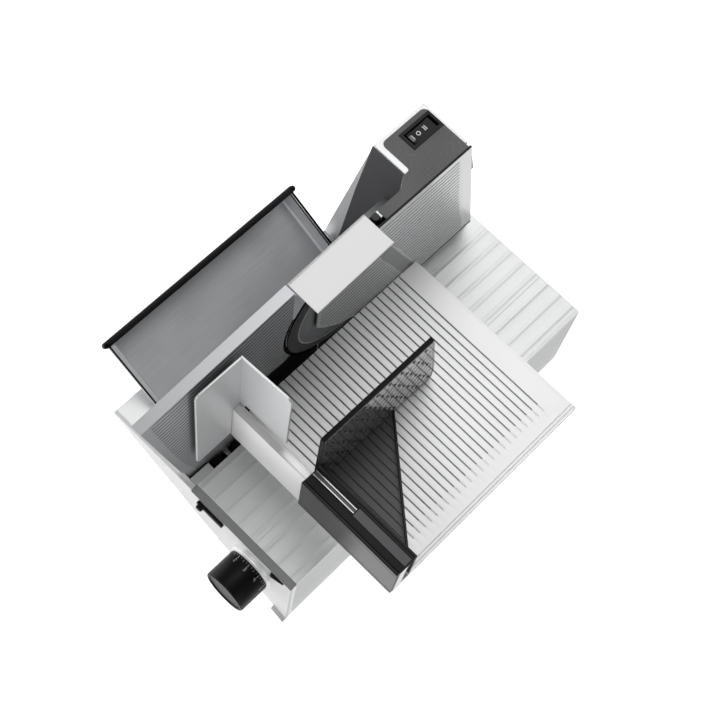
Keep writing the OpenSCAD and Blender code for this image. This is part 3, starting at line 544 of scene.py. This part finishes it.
# the cut-out's wall and a ring behind the blade's rim in matt black: painted shade
a = np.radians(np.linspace(155.5, 242, 70))[:, None]
piece("cutout_shade", [grid(round_blade(np.array([CUTOUT_SHADE_X0, CUTOUT_SHADE_X1]), CUTOUT_SHADE_R, a)),
                        grid(round_blade(-2.3, np.array([85.3, CUTOUT_R - 0.3]), a))],
      black_and_painted_shade, "gauge")
# the black foot of the gauge's face near the table: painted shade
arc = round_blade(0, CUTOUT_R - 0.3, np.radians(np.linspace(209, 241.5, 16)))[:, 1:].tolist()
foot = [(-143, -25), (-143, 29), (-80, 29)] + arc + [(-42.5, -25)]
piece("gauge_foot_shade", [prism(foot, GAUGE_FACE - 0.3, -1.25, "x")], black_and_painted_shade, "gauge")

# Dial
# Black moulded knob with softened rims, pushed on its spindle in front of a turned silver collar. White ticks
# and the numbers 0 to 10 run round it near its inner edge, each number drawn of up to seven strokes. A black
# pointer on the front plate marks the setting.
DIAL_X, DIAL_Z, DIAL_R, PANEL_Y = 90.0, -85.0, 22.4, -206.0
TICK_Y, NUMBER_Y, STEP_ANGLE, ZERO_ANGLE, DIGIT_WIDE, DIGIT_HIGH = -214.2, -221.6, 33.0, 185.5, 0.75, 0.85
SEGMENTS = {"a": (0, 4, 2, 4), "b": (2, 2, 2, 4), "c": (2, 0, 2, 2), "d": (0, 0, 2, 0), "e": (0, 0, 0, 2),
            "f": (0, 2, 0, 4), "g": (0, 2, 2, 2)}
DIGITS = ["abcdef", "bc", "abged", "abgcd", "fgbc", "afgcd", "afgedc", "abc", "abcdefg", "abcdfg"]


def on_knob(s, y):
    """A point 0.06 mm off the knob's skin at an arc length s, so at an angle of s over the radius, and at a
    place y along its axis."""
    a = s / DIAL_R
    return DIAL_X + (DIAL_R + 0.06) * math.cos(a), y, DIAL_Z + (DIAL_R + 0.06) * math.sin(a)


def stroke(s0, y0, s1, y1, half):
    """A straight printed stroke between two places on the knob, reaching half to either side of its line, in
    steps of at least 1 mm round the knob."""
    n = max(1, int(abs(s1 - s0)))
    out = []
    for i in range(n):
        a, b = s0 + (s1 - s0) * i / n, s0 + (s1 - s0) * (i + 1) / n
        if abs(y1 - y0) > abs(s1 - s0):
            q = [on_knob(a - half, y0), on_knob(a + half, y0), on_knob(a + half, y1), on_knob(a - half, y1)]
        else:
            q = [on_knob(a, y0 - half), on_knob(b, y0 - half), on_knob(b, y0 + half), on_knob(a, y0 + half)]
        out.append((np.array(q), [(0, 1, 2, 3), (3, 2, 1, 0)]))
    return out


# moulded knob: nearly black, dull; collar turned on a lathe: bright and smooth; printed mark: matt black
dial_black = dress("dial_black", "black dial moulding", "#050505", 0.42, grain=0.05, edge=0.6, shine=0.2)
collar_silver = dress("collar_silver", "turned silver collar", "#f4f5f6", 0.35, 0.3, spread=0.04, edge=0.4)
dress("mark_black", "black printed mark", "#0b0b0b", 0.55)
knob = [(-242.6, 0.02), (-242.6, 19.6), (-243.4, 20.0), (-244, 20.6), (-243.9, 21.4), (-243, 22.2),
        (-242, DIAL_R), (-214.1, DIAL_R), (-213.5, 22.1), (-213.3, 21.4), (-213.3, 0.02)]
piece("knob_body", [lathe(knob, (DIAL_X, DIAL_Z), "y")], dial_black, "dial", ["dial_knob"])
collar = [(-213, 4.1), (-213, 22), (-212.6, 22.9), (-211.4, 23.1), (-211.2, 23.5), (-209.8, 23.9),
          (-207.4, 24), (-207.2, 23.7), (-206.8, 23.7), (-206.5, 24), (PANEL_Y, 24), (PANEL_Y, 4.1),
          (-213, 4.1)]
piece("collar_ring", [lathe(collar, (DIAL_X, DIAL_Z), "y")], collar_silver, "base",
      ["dial_collar"], angle=50)
signs = []
for k in range(11):
    s = math.radians(ZERO_ANGLE - STEP_ANGLE * k) * DIAL_R
    signs += stroke(s, TICK_Y - 3, s, TICK_Y, 0.28)
    for quarter in (1, 2, 3) if k < 10 else ():
        tick = s - math.radians(STEP_ANGLE * quarter / 4) * DIAL_R
        signs += stroke(tick, TICK_Y - (2.2 if quarter == 2 else 1.2), tick, TICK_Y, 0.18)
    for i, c in enumerate(str(k)):
        left = s + 0.9 * len(str(k)) - 1.9 * i
        for segment in DIGITS[int(c)]:
            s0, y0, s1, y1 = SEGMENTS[segment]
            signs += stroke(left - DIGIT_WIDE * s0, NUMBER_Y + DIGIT_HIGH * y0,
                            left - DIGIT_WIDE * s1, NUMBER_Y + DIGIT_HIGH * y1, 0.24)
piece("dial_marks", signs, print_white, "dial")
wedge = [(110, -58.7), (125.4, -58.7), (124.6, -60.6), (112.4, -71), (109.6, -70.4)]
piece("pointer_wedge", [prism(wedge, PANEL_Y - 1.2, PANEL_Y + 0.1, "y")], black_and_painted_shade, "base",
      ["dial_pointer"], bevel=0.2)

# Lock slider
# Moulded black bar with a round thumb button, which slides in a slot of the front plate below the trim.
BAR_X0, BAR_X1, BAR_Z0, BAR_Z1, BUTTON_X, BUTTON_R = 18.0, 50.0, -65.0, -59.0, 23.3, 3.5
bar = rounded([(BAR_X0, BAR_Z0), (BAR_X1, BAR_Z0), (BAR_X1, BAR_Z1), (BAR_X0, BAR_Z1)], [1.5] * 4, 4)
button = [(-212.5, 0.02), (-212.5, 2.6), (-211.8, 3.3), (-210.8, BUTTON_R), (-208.8, BUTTON_R),
          (-208.8, 0.02)]
piece("lock_bar", [prism(bar, PANEL_Y - 3.2, PANEL_Y - 0.2, "y"), block((28, -207, -64), (34, -197, -60)),
                   lathe(button, (BUTTON_X, (BAR_Z0 + BAR_Z1) / 2), "y", 40)],
      switch_black, "lock", ["lock_slider"], bevel=0.3)

# Sliding table
# Anodised aluminium plate, milled with V grooves along x every 7.3 mm that run out before the right edge. It
# has a plain rear flange, two fine lines along the right edge, a rail below them and a lip behind the flange.
TABLE_X0, TABLE_X1, TABLE_Y0, TABLE_Y1 = 3.5, 201.0, -145.8, 80.0
GROOVE_PITCH, GROOVE_DEPTH, GROOVE_FIRST, GROOVE_END, RUN_OUT_X, RUN_OUT = 7.3, 0.9, -140.2, 57.0, 168.0, 24.0
LINE_X, LINE_DEPTH, SHADED_X, NARROW_X = (195.8, 198.7), 0.5, 175.0, 80.0

# satin anodised: pale and even; the grooves are darker, painted shade, drawn wider near the blade
table_aluminium = dress("table_aluminium", "satin table aluminium", "#f8f8f8", 0.48, 0.4, grain=0.02,
                        spread=0.02, edge=0.25)
table_groove_shade = finish_of("painted shade in the table's grooves", "#9a9b9d", 0.55, spread=0.05, shine=0.3)
offsets, dips = np.array(((-2.8, 0), (-0.75, 0.14), (-0.1, 1), (0.1, 1), (0.75, 0.14), (2.8, 0))).T
grooves = np.arange(GROOVE_FIRST, GROOVE_END, GROOVE_PITCH)
y = np.r_[TABLE_Y0, (grooves[:, None] + offsets).ravel(), TABLE_Y1]
dip = np.r_[0, np.tile(dips, len(grooves)), 0][:, None] * GROOVE_DEPTH
x = np.array([TABLE_X0, 4.2, 6, 20, 50, 80, 110, 140, 165, 175, 183, 190, 195.3, 195.8, 196.3, 198.2, 198.7,
              199.2, TABLE_X1])
z = -dip * (1 - smooth((x - RUN_OUT_X) / RUN_OUT)) - LINE_DEPTH * np.isin(x, LINE_X)
rail = [(TABLE_X1 - 2.5, -9), (TABLE_X1, -9), (TABLE_X1, -0.3), (TABLE_X1 - 2.5, -1.2)]
table = piece("table_top", [grid(np.stack(np.broadcast_arrays(x, y[:, None], z), -1), True),
                            block((TABLE_X0, TABLE_Y0, -4), (TABLE_X1, TABLE_Y1, -1.05)),
                            prism(rail, TABLE_Y0, TABLE_Y1, "y"),
                            block((TABLE_X0, TABLE_Y1 - 2.5, -12), (TABLE_X1, TABLE_Y1, -0.02)),
                            block((TABLE_X0, TABLE_Y0, -4), (TABLE_X0 + 0.3, TABLE_Y1, -0.9))],
              table_aluminium, "sled", ["sled_table"], angle=20)
# dark rows in the grooves, wider near the blade and left out near the right edge: painted shade
row, column = np.mgrid[:len(y) - 1, :len(x) - 1]
dark = np.isin(row % 6, (3, 4)) | ((row % 6 == 2) & (x[column] < NARROW_X))
refinish(table, [table_groove_shade], (dark & (row < len(y) - 2) & (x[column] < SHADED_X)).ravel())

# Front wall of the sled
# Hollow aluminium extrusion 9 mm thick with soft edges and two fine lines along its top, closed at its ends
# and fixed along the table's front edge.
WALL_Y0, WALL_Y1, WALL_Z0, WALL_Z1, WALL_T, WALL_ROUND = -154.8, -145.8, -12.0, 51.0, 2.0, 0.9

# brushed along its length and anodised: silky streaks along x
wall_aluminium = dress("wall_aluminium", "satin wall aluminium", "#eaeaea", 0.42, 0.4, brush="x", grain=0.01,
                       edge=0.6)
bar = rounded([(WALL_Y0, WALL_Z0), (WALL_Y0, WALL_Z1), (WALL_Y0 + 1.6, WALL_Z1),
               (WALL_Y0 + 1.8, WALL_Z1 - 0.4), (WALL_Y0 + 2.0, WALL_Z1), (WALL_Y1 - 2.0, WALL_Z1),
               (WALL_Y1 - 1.8, WALL_Z1 - 0.4), (WALL_Y1 - 1.6, WALL_Z1), (WALL_Y1, WALL_Z1),
               (WALL_Y1, WALL_Z0), (WALL_Y1 - WALL_T, WALL_Z0), (WALL_Y1 - WALL_T, WALL_Z1 - 2.5),
               (WALL_Y0 + WALL_T, WALL_Z1 - 2.5), (WALL_Y0 + WALL_T, WALL_Z0)],
              [0, WALL_ROUND, 0, 0, 0, 0, 0, 0, WALL_ROUND, 0, 0, 0, 0, 0], 5)
ends = rounded([(WALL_Y0, WALL_Z0), (WALL_Y0, WALL_Z1), (WALL_Y1, WALL_Z1), (WALL_Y1, WALL_Z0)],
               [0, WALL_ROUND, WALL_ROUND, 0], 5)
piece("front_wall_bar", [prism(bar, TABLE_X0 + 1.5, TABLE_X1 - 1.5, "x"),
                         prism(ends, TABLE_X0, TABLE_X0 + 2, "x"), prism(ends, TABLE_X1 - 2, TABLE_X1, "x")],
      wall_aluminium, "sled", ["sled_front_wall"])

# Thumb guard
# Two plates of thin sheet at a right angle with rounded outer corners, one beside the gauge and one over the
# wall, held at the wall's left end.
GUARD_X0, GUARD_X1, GUARD_Y0, GUARD_Y1, GUARD_T, GUARD_Z = 3.5, 60.0, -195.5, -146.0, 2.5, 150.0

# fine brushed sheet: smoother and a little darker than the table
guard_sheet = dress("guard_sheet", "fine satin guard sheet", "#d6d7d8", 0.36, 0.45, grain=0.01, spread=0.03,
                    edge=0.5)
beside = rounded([(-155.1, -4), (GUARD_Y0, -4), (GUARD_Y0, GUARD_Z), (GUARD_Y1, GUARD_Z), (GUARD_Y1, 51.1),
                  (-155.1, 51.1)], [0, 4, 5, 0, 0, 0])
above = rounded([(GUARD_X0, 51.1), (11.2, 51.1), (11.2, 57.5), (GUARD_X1, 57.5), (GUARD_X1, 157.1),
                 (6, 149.5), (GUARD_X0, GUARD_Z)], [0, 0, 0, 3, 6, 0, 0])
piece("guard_plates", [prism(beside, GUARD_X0, GUARD_X0 + GUARD_T, "x"),
                       prism(above, GUARD_Y1 - 0.3, GUARD_Y1 - 0.3 + GUARD_T, "y")],
      guard_sheet, "sled", ["thumb_guard"], bevel=0.7)

# Remnant holder
# Black moulded channel that hooks over the front wall and slides on it, with fine lines along its front face,
# two gloss rails, and a bright strip and a graphite bar laid in its floor. The glossy pusher plate with its
# rows of small teeth closes the left end, and a smoked web with a black ridge braces the plate.
HOLD_X, HOLD_Z, HOLD_Y0, HOLD_Y1, PUSHER_T = 91.6, 51.3, -159.3, -135.0, 4.5
TEETH_Y, TEETH_Z, TOOTH_PITCH, TOOTH_Y, TOOTH_DROP = -133.0, 105.0, 14.3, 7.95, 15.2
HATCH_Z, HATCH_CLIMB = 14.0, 9.0
TOOTH = np.array(((0, -2.4, 4.6), (0, 2.4, -1.2), (0, -1.6, -3.8), (1, -0.4, 0)))
PLATE_SLOPE, WEB_X1, WEB_Y1, BORDER_HALF = 0.184, 192.0, -41.0, 0.35


def fine_lines(z0, climb):
    """Raised lines 0.3 mm wide over the pusher plate, one for each column of teeth, that start at a height z0
    and climb by so much for each tooth's step along y, clipped where the plate ends."""
    out, j = [], np.linspace(0, 9, 90)
    for i in range(-4, 10):
        y, z = TEETH_Y + TOOTH_PITCH * i + TOOTH_Y * j, z0 + climb * j
        on = (5 < z) & (z < 110) & (-136 < y) & (y < -13 + (108 - z) * PLATE_SLOPE)
        if on.sum() > 4:
            (ya, yb), (za, zb) = y[on][[0, -1]], z[on][[0, -1]]
            line = [(ya, za), (yb, zb), (yb, zb - 0.3), (ya, za - 0.3)]
            out.append(prism(line, HOLD_X - 0.1, HOLD_X + 0.18, "x"))
    return out


# moulded channel: satin black, glossier on its front face; rails polished by use; polished metal strip; a
# bar of graphite filled plastic with a silky sheen
holder_black = dress("holder_black", "satin black holder moulding", "#0b0b0c", 0.48, grain=0.05, edge=0.6,
                     shine=0.2)
holder_face = finish_of("gloss black holder face", "#0c0c0d", 0.3, grain=0.02, spread=0.03, edge=0.5)
holder_rail_black = dress("holder_rail_black", "gloss black rail", "#030303", 0.3, edge=0.3, shine=0.2)
strip_bright = dress("strip_bright", "bright metal strip", "#9c9d9e", 0.2, 0.9, edge=0.2)
slider_grey = finish_of("satin graphite bar", "#3a3a3c", 0.3, 0.4, brush="x", edge=0.4)
# gloss black plate painted mid grey, a painted reflection of the bright studio, with dull edges and black
# teeth;
# clear smoked web
pusher_black = dress("pusher_black", "gloss black pusher moulding, painted grey reflection", "#5c5c5e", 0.16, grain=0.01, spread=0.02,
                     clear=0.8, shine=0.9)
pusher_matt = finish_of("matt black pusher edge", "#070708", 0.55, shine=0.15)
pusher_tooth = finish_of("black tooth of the pusher", "#262627", 0.4, shine=0.3)
web_smoked = dress("web_smoked", "smoked clear plastic", "#141415", 0.3, alpha=0.43, spread=0.02, shine=0.2)
section = [(HOLD_Y0, -2.5), (HOLD_Y0, 1.2), (HOLD_Y0 + 0.35, 1.6), (HOLD_Y0, 2.0), (HOLD_Y0, 4.4),
           (HOLD_Y0 + 0.35, 4.8), (HOLD_Y0, 5.2), (HOLD_Y0, 50.2), (HOLD_Y0 + 0.4, 50.6), (HOLD_Y0, 51.0),
           (HOLD_Y0, HOLD_Z + 4), (HOLD_Y0 + 3.4, HOLD_Z + 4), (HOLD_Y0 + 3.8, HOLD_Z + 3.2),
           (HOLD_Y1 - 12.8, HOLD_Z + 3.0), (HOLD_Y1 - 4.2, HOLD_Z + 3.2), (HOLD_Y1 - 3.6, HOLD_Z + 4),
           (HOLD_Y1, HOLD_Z + 4), (HOLD_Y1, 3), (HOLD_Y1 - 2, 3), (HOLD_Y1 - 2, HOLD_Z + 1.5),
           (-143.5, HOLD_Z + 1.5), (-143.5, 36), (-145.5, 36), (-145.5, HOLD_Z), (-155.1, HOLD_Z),
           (-155.1, -2.5)]
channel = piece("channel_body", [prism(section, HOLD_X, TABLE_X1, "x")], holder_black, "holder",
                ["holder_channel"], bevel=0.25)
refinish(channel, [holder_face], normals(channel)[:, 1] < -0.7)
rails = [rounded([(y0, HOLD_Z + 3.6), (y1, HOLD_Z + 3.6), (y1, HOLD_Z + 4.9), (y0, HOLD_Z + 4.9)],
                 [0, 0, 0.8, 0.8], 5) for y0, y1 in ((HOLD_Y0, HOLD_Y0 + 3), (HOLD_Y1 - 3, HOLD_Y1))]
piece("channel_rails", [prism(rail, HOLD_X + 0.1, TABLE_X1 - 0.1, "x") for rail in rails], holder_rail_black,
      "holder", ["holder_rails"])
strip = [(HOLD_Y1 - 12.5 + y, HOLD_Z + z) for y, z in
         ((0, 3), (0, 4.6), (1, 4.6), (1.1, 3.4), (3.9, 3.4), (4, 4.6), (5, 4.6), (5, 3))]
bright = piece("channel_strip", [prism(strip, HOLD_X + 1.4, HOLD_X + 48, "x")], strip_bright, "holder",
               ["holder_strip"])
middles = np.array([f.center[:] for f in bright.data.polygons])[:, 1] * 1000 - SHIFT[1] - HOLD_Y1 + 12.5
refinish(bright, [slider_grey], (1.2 < middles) & (middles < 3.8))
piece("channel_slide", [block((HOLD_X + 48.6, HOLD_Y1 - 14, HOLD_Z + 2.6),
                              (TABLE_X1 - 1, HOLD_Y1 - 5.2, HOLD_Z + 3.9))],
      slider_grey, "holder", bevel=0.4)
plate = rounded([(HOLD_Y1 - 3, 2), (HOLD_Y1 - 3, 113), (-9.7, 113), (7, 22), (7, 2)], [0, 2, 2, 8, 3])
pusher = piece("pusher_plate_body", [prism(plate, HOLD_X - PUSHER_T, HOLD_X, "x")], pusher_black, "holder",
               ["pusher_plate"], bevel=0.35)
facing = normals(pusher)
refinish(pusher, [pusher_matt], (abs(facing[:, 1]) > 0.5) | (facing[:, 2] > 0.6))
i, j = np.mgrid[-4:10, :8].reshape(2, -1)
y, z = TEETH_Y + TOOTH_PITCH * i + TOOTH_Y * j, TEETH_Z - TOOTH_DROP * j
on = (z >= 9) & (y <= -15 + (108 - z) * PLATE_SLOPE) & (y >= TEETH_Y)
teeth, sides = [], [(0, 1, 3), (1, 2, 3), (2, 0, 3)]
for place in zip(y[on], z[on]):
    teeth.append((TOOTH * (0.9, 1, 1) + (HOLD_X, *place), [side[::-1] for side in sides]))
    teeth.append((TOOTH * (-1.4, 1, 1) + (HOLD_X - PUSHER_T, *place), sides))
piece("pusher_teeth", teeth, pusher_tooth, "holder", angle=10)
piece("pusher_rows", fine_lines(TEETH_Z, -TOOTH_DROP), pusher_tooth, "holder")
piece("pusher_hatch", fine_lines(HATCH_Z, HATCH_CLIMB), pusher_black, "holder")
border = np.array(rounded([(HOLD_Y1 - 1.2, 4.4), (HOLD_Y1 - 1.2, 111), (-11.4, 111), (5, 22), (5, 4.4)],
                          [0, 2, 2, 7, 2]))
ribs = []
for p, q in zip(border, np.roll(border, -1, axis=0)):
    side = np.array([q[1] - p[1], p[0] - q[0]]) / max(1e-6, math.hypot(*(q - p))) * BORDER_HALF
    ribs.append(prism([p - side, q - side, q + side, p + side], HOLD_X - 0.2, HOLD_X + 0.35, "x"))
piece("pusher_border", ribs, pusher_black, "holder")
web = [(HOLD_X, HOLD_Y1), (WEB_X1, HOLD_Y1), (WEB_X1, HOLD_Y1 + 8), (HOLD_X, WEB_Y1)]
slope = np.array([WEB_X1 - HOLD_X, HOLD_Y1 + 8 - WEB_Y1])
across = np.array([-slope[1], slope[0]]) / math.hypot(*slope) * 2.2
ridge = [(HOLD_X, WEB_Y1), (WEB_X1, HOLD_Y1 + 8), (WEB_X1 - across[0], HOLD_Y1 + 8 - across[1]),
         (HOLD_X, WEB_Y1 - 2.9)]
piece("web_sheet", [prism(web, 3.2, 5.4, "z")], web_smoked, "holder", ["holder_web"])
piece("web_ridge", [prism(ridge, 3, 6.6, "z")], holder_rail_black, "holder", bevel=0.4)

# Slice tray
# Pressed stainless tray with rolled rims at both ends, which lies on the floor under the leaning machine. A
# black rubber edging is pushed over its left side, and black strips lie over the two rims.
TRAY_X0, TRAY_X1, TRAY_Y0, TRAY_Y1, TRAY_H, FLAP = -111.0, -3.0, -171.0, 50.0, 24.0, 4.0


def on_floor(p):
    """Millimetres in the true frame, shifted with the machine but not leaned, to metres."""
    p = np.asarray(p, float).reshape(-1, 3)
    return (p + (SHIFT[0], SHIFT[1], 0)) / 1000


# brushed stainless: long streaks along y with wide soft drifts; black rubber: dull
tray_steel = dress("tray_steel", "brushed stainless tray", "#d8d9db", 0.42, 0.6, brush="y", grain=0.015,
                   spread=0.2, level=True, edge=0.4)
tray_edge_black = dress("tray_edge_black", "black tray edging", "#070707", 0.5, grain=0.05, edge=0.8,
                        level=True, shine=0.2)
section = rounded([(TRAY_Y0 - 6, TRAY_H - 1.4), (TRAY_Y0 - 6, TRAY_H), (TRAY_Y0 + 1, TRAY_H),
                   (TRAY_Y0 + 1, 1), (TRAY_Y1 - 1, 1), (TRAY_Y1 - 1, TRAY_H), (TRAY_Y1 + 2, TRAY_H),
                   (TRAY_Y1 + 2, TRAY_H - 2.4), (TRAY_Y1, TRAY_H - 2.4), (TRAY_Y1, 0), (TRAY_Y0, 0),
                   (TRAY_Y0, TRAY_H - 1.4)], [0, 1, 1, 3.5, 3.5, 1, 1, 0, 0, 4, 4, 0])
walls = [block((x, TRAY_Y0, 0), (x + 1, TRAY_Y1, TRAY_H)) for x in (TRAY_X0, TRAY_X1 - 1)]
piece("tray_pan", [prism(section, TRAY_X0, TRAY_X1, "x")] + walls, tray_steel, "tray",
      ["catch_tray"], to=on_floor)
edging = rounded([(TRAY_X0 - FLAP, TRAY_H - 5), (TRAY_X0, TRAY_H - 5), (TRAY_X0, TRAY_H + 0.2),
                  (TRAY_X0 + 2, TRAY_H + 0.2), (TRAY_X0 + 2, TRAY_H + 2), (TRAY_X0 - FLAP, TRAY_H + 2)],
                 [1, 0, 0, 0, 1.2, 2], 5)
tip = [(TRAY_H - 5, 0.02), (TRAY_H - 5, 3), (TRAY_H + 1, 3), (TRAY_H + 1.7, 2.5), (TRAY_H + 2, 1.6),
       (TRAY_H + 2, 0.02)]
tips = [lathe(tip, (TRAY_X0 - 1, y), "z", 32) for y in (TRAY_Y1 + 4, TRAY_Y0 - 6.2)]
strips = [block((TRAY_X0 + 1, y, TRAY_H - 0.6), (TRAY_X1 - 0.2, y + wide, TRAY_H + high)) for y, wide, high in
          ((TRAY_Y1 + 0.7, 1.9, 0.6), (TRAY_Y1 - 1.2, 0.9, 0.25), (TRAY_Y0 - 5.2, 1.5, 0.3))]
piece("tray_edging", [prism(edging, TRAY_Y0 - 7, TRAY_Y1 + 4, "y")] + tips + strips, tray_edge_black, "tray",
      ["tray_edge"], to=on_floor)

# Camera, light and floor
# The camera stands where the photographer's did, found from the straight edges of table, base and tower.
# Three large soft lamps and a pale floor that burns out to white, as in a studio, with a dark patch under the
# machine, where the floor lies in its shade.
SENSOR, FOCAL_PX, WIDTH_PX, EYE = 36.0, 1532.4, 720, (316.6, -471.1, 1254.6)
WORLD_LIGHT, FLOOR_LIGHT, SHADED_FLOOR = 0.16, 0.82, 4
scene = bpy.context.scene
right = Vector((0.5968, 0.6982, 0.3954)).normalized()
forward = Vector((0.2275, 0.3253, -0.9178)).normalized()
up = right.cross(forward).normalized()
lens = bpy.data.cameras.new("camera")
lens.sensor_width, lens.lens = SENSOR, FOCAL_PX * SENSOR / WIDTH_PX
lens.shift_x, lens.shift_y = 0.00385, -0.00071
lens.clip_start, lens.clip_end = 0.01, 50
camera = bpy.data.objects.new("camera", lens)
scene.collection.objects.link(camera)
camera.matrix_world = Matrix(((right.x, up.x, -forward.x, 0), (right.y, up.y, -forward.y, 0),
                              (right.z, up.z, -forward.z, 0), (0, 0, 0, 1)))
camera.location = Vector(world([EYE])[0])
scene.camera = camera


def lamp(name, place, aim, size, power):
    """A square area lamp of a size in metres and a power in watts that faces a point."""
    d = bpy.data.lights.new(name, "AREA")
    d.shape, d.size, d.energy = "SQUARE", size, power
    o = bpy.data.objects.new(name, d)
    scene.collection.objects.link(o)
    o.location = place
    o.rotation_mode = "QUATERNION"
    o.rotation_quaternion = (Vector(aim) - Vector(place)).to_track_quat("-Z", "Y")


lamp("soft top", (-1.25, 0.75, 1.6), (0, 0, 0.1), 1.6, 20.0)
lamp("soft right", (1.5, -0.6, 1.3), (0.05, 0, 0.12), 1.1, 5.0)
lamp("soft front", (-0.5, -1.7, 0.9), (0, 0, 0.1), 1.1, 10.0)
studio = bpy.data.worlds.new("studio")
scene.world = studio
studio.use_nodes = True
background = studio.node_tree.nodes["Background"]
background.inputs["Color"].default_value = (1, 1, 1, 1)
background.inputs["Strength"].default_value = WORLD_LIGHT
# paper that the lamps burn out to white, and the same paper in the machine's shade
pale = finish_of("pale lit studio floor", "#f4f4f4", 0.9, spread=0.01, level=True)
glow = pale.node_tree.nodes["Principled BSDF"].inputs
glow["Emission Color"].default_value = (1, 1, 1, 1)
glow["Emission Strength"].default_value = FLOOR_LIGHT
shaded = finish_of("floor in the machine's shade", "#2a2a2a", 0.9, spread=0.01, level=True, shine=0.1)
lines_x, lines_y = (-4, -0.09, 0.14, 4), (-4, -0.172, 0.1, 4)
tiles = [(k, k + 1, k + 5, k + 4) for k in (0, 1, 2, 4, 5, 6, 8, 9, 10)]
paper = bpy.data.meshes.new("floor")
paper.from_pydata([(x, y, 0) for y in lines_y for x in lines_x], [], tiles)
floor = bpy.data.objects.new("floor", paper)
scene.collection.objects.link(floor)
paper.materials.append(pale)
paper.materials.append(shaded)
paper.polygons[SHADED_FLOOR].material_index = 1
scene.view_settings.view_transform = "Standard"
scene.view_settings.exposure = 0.0
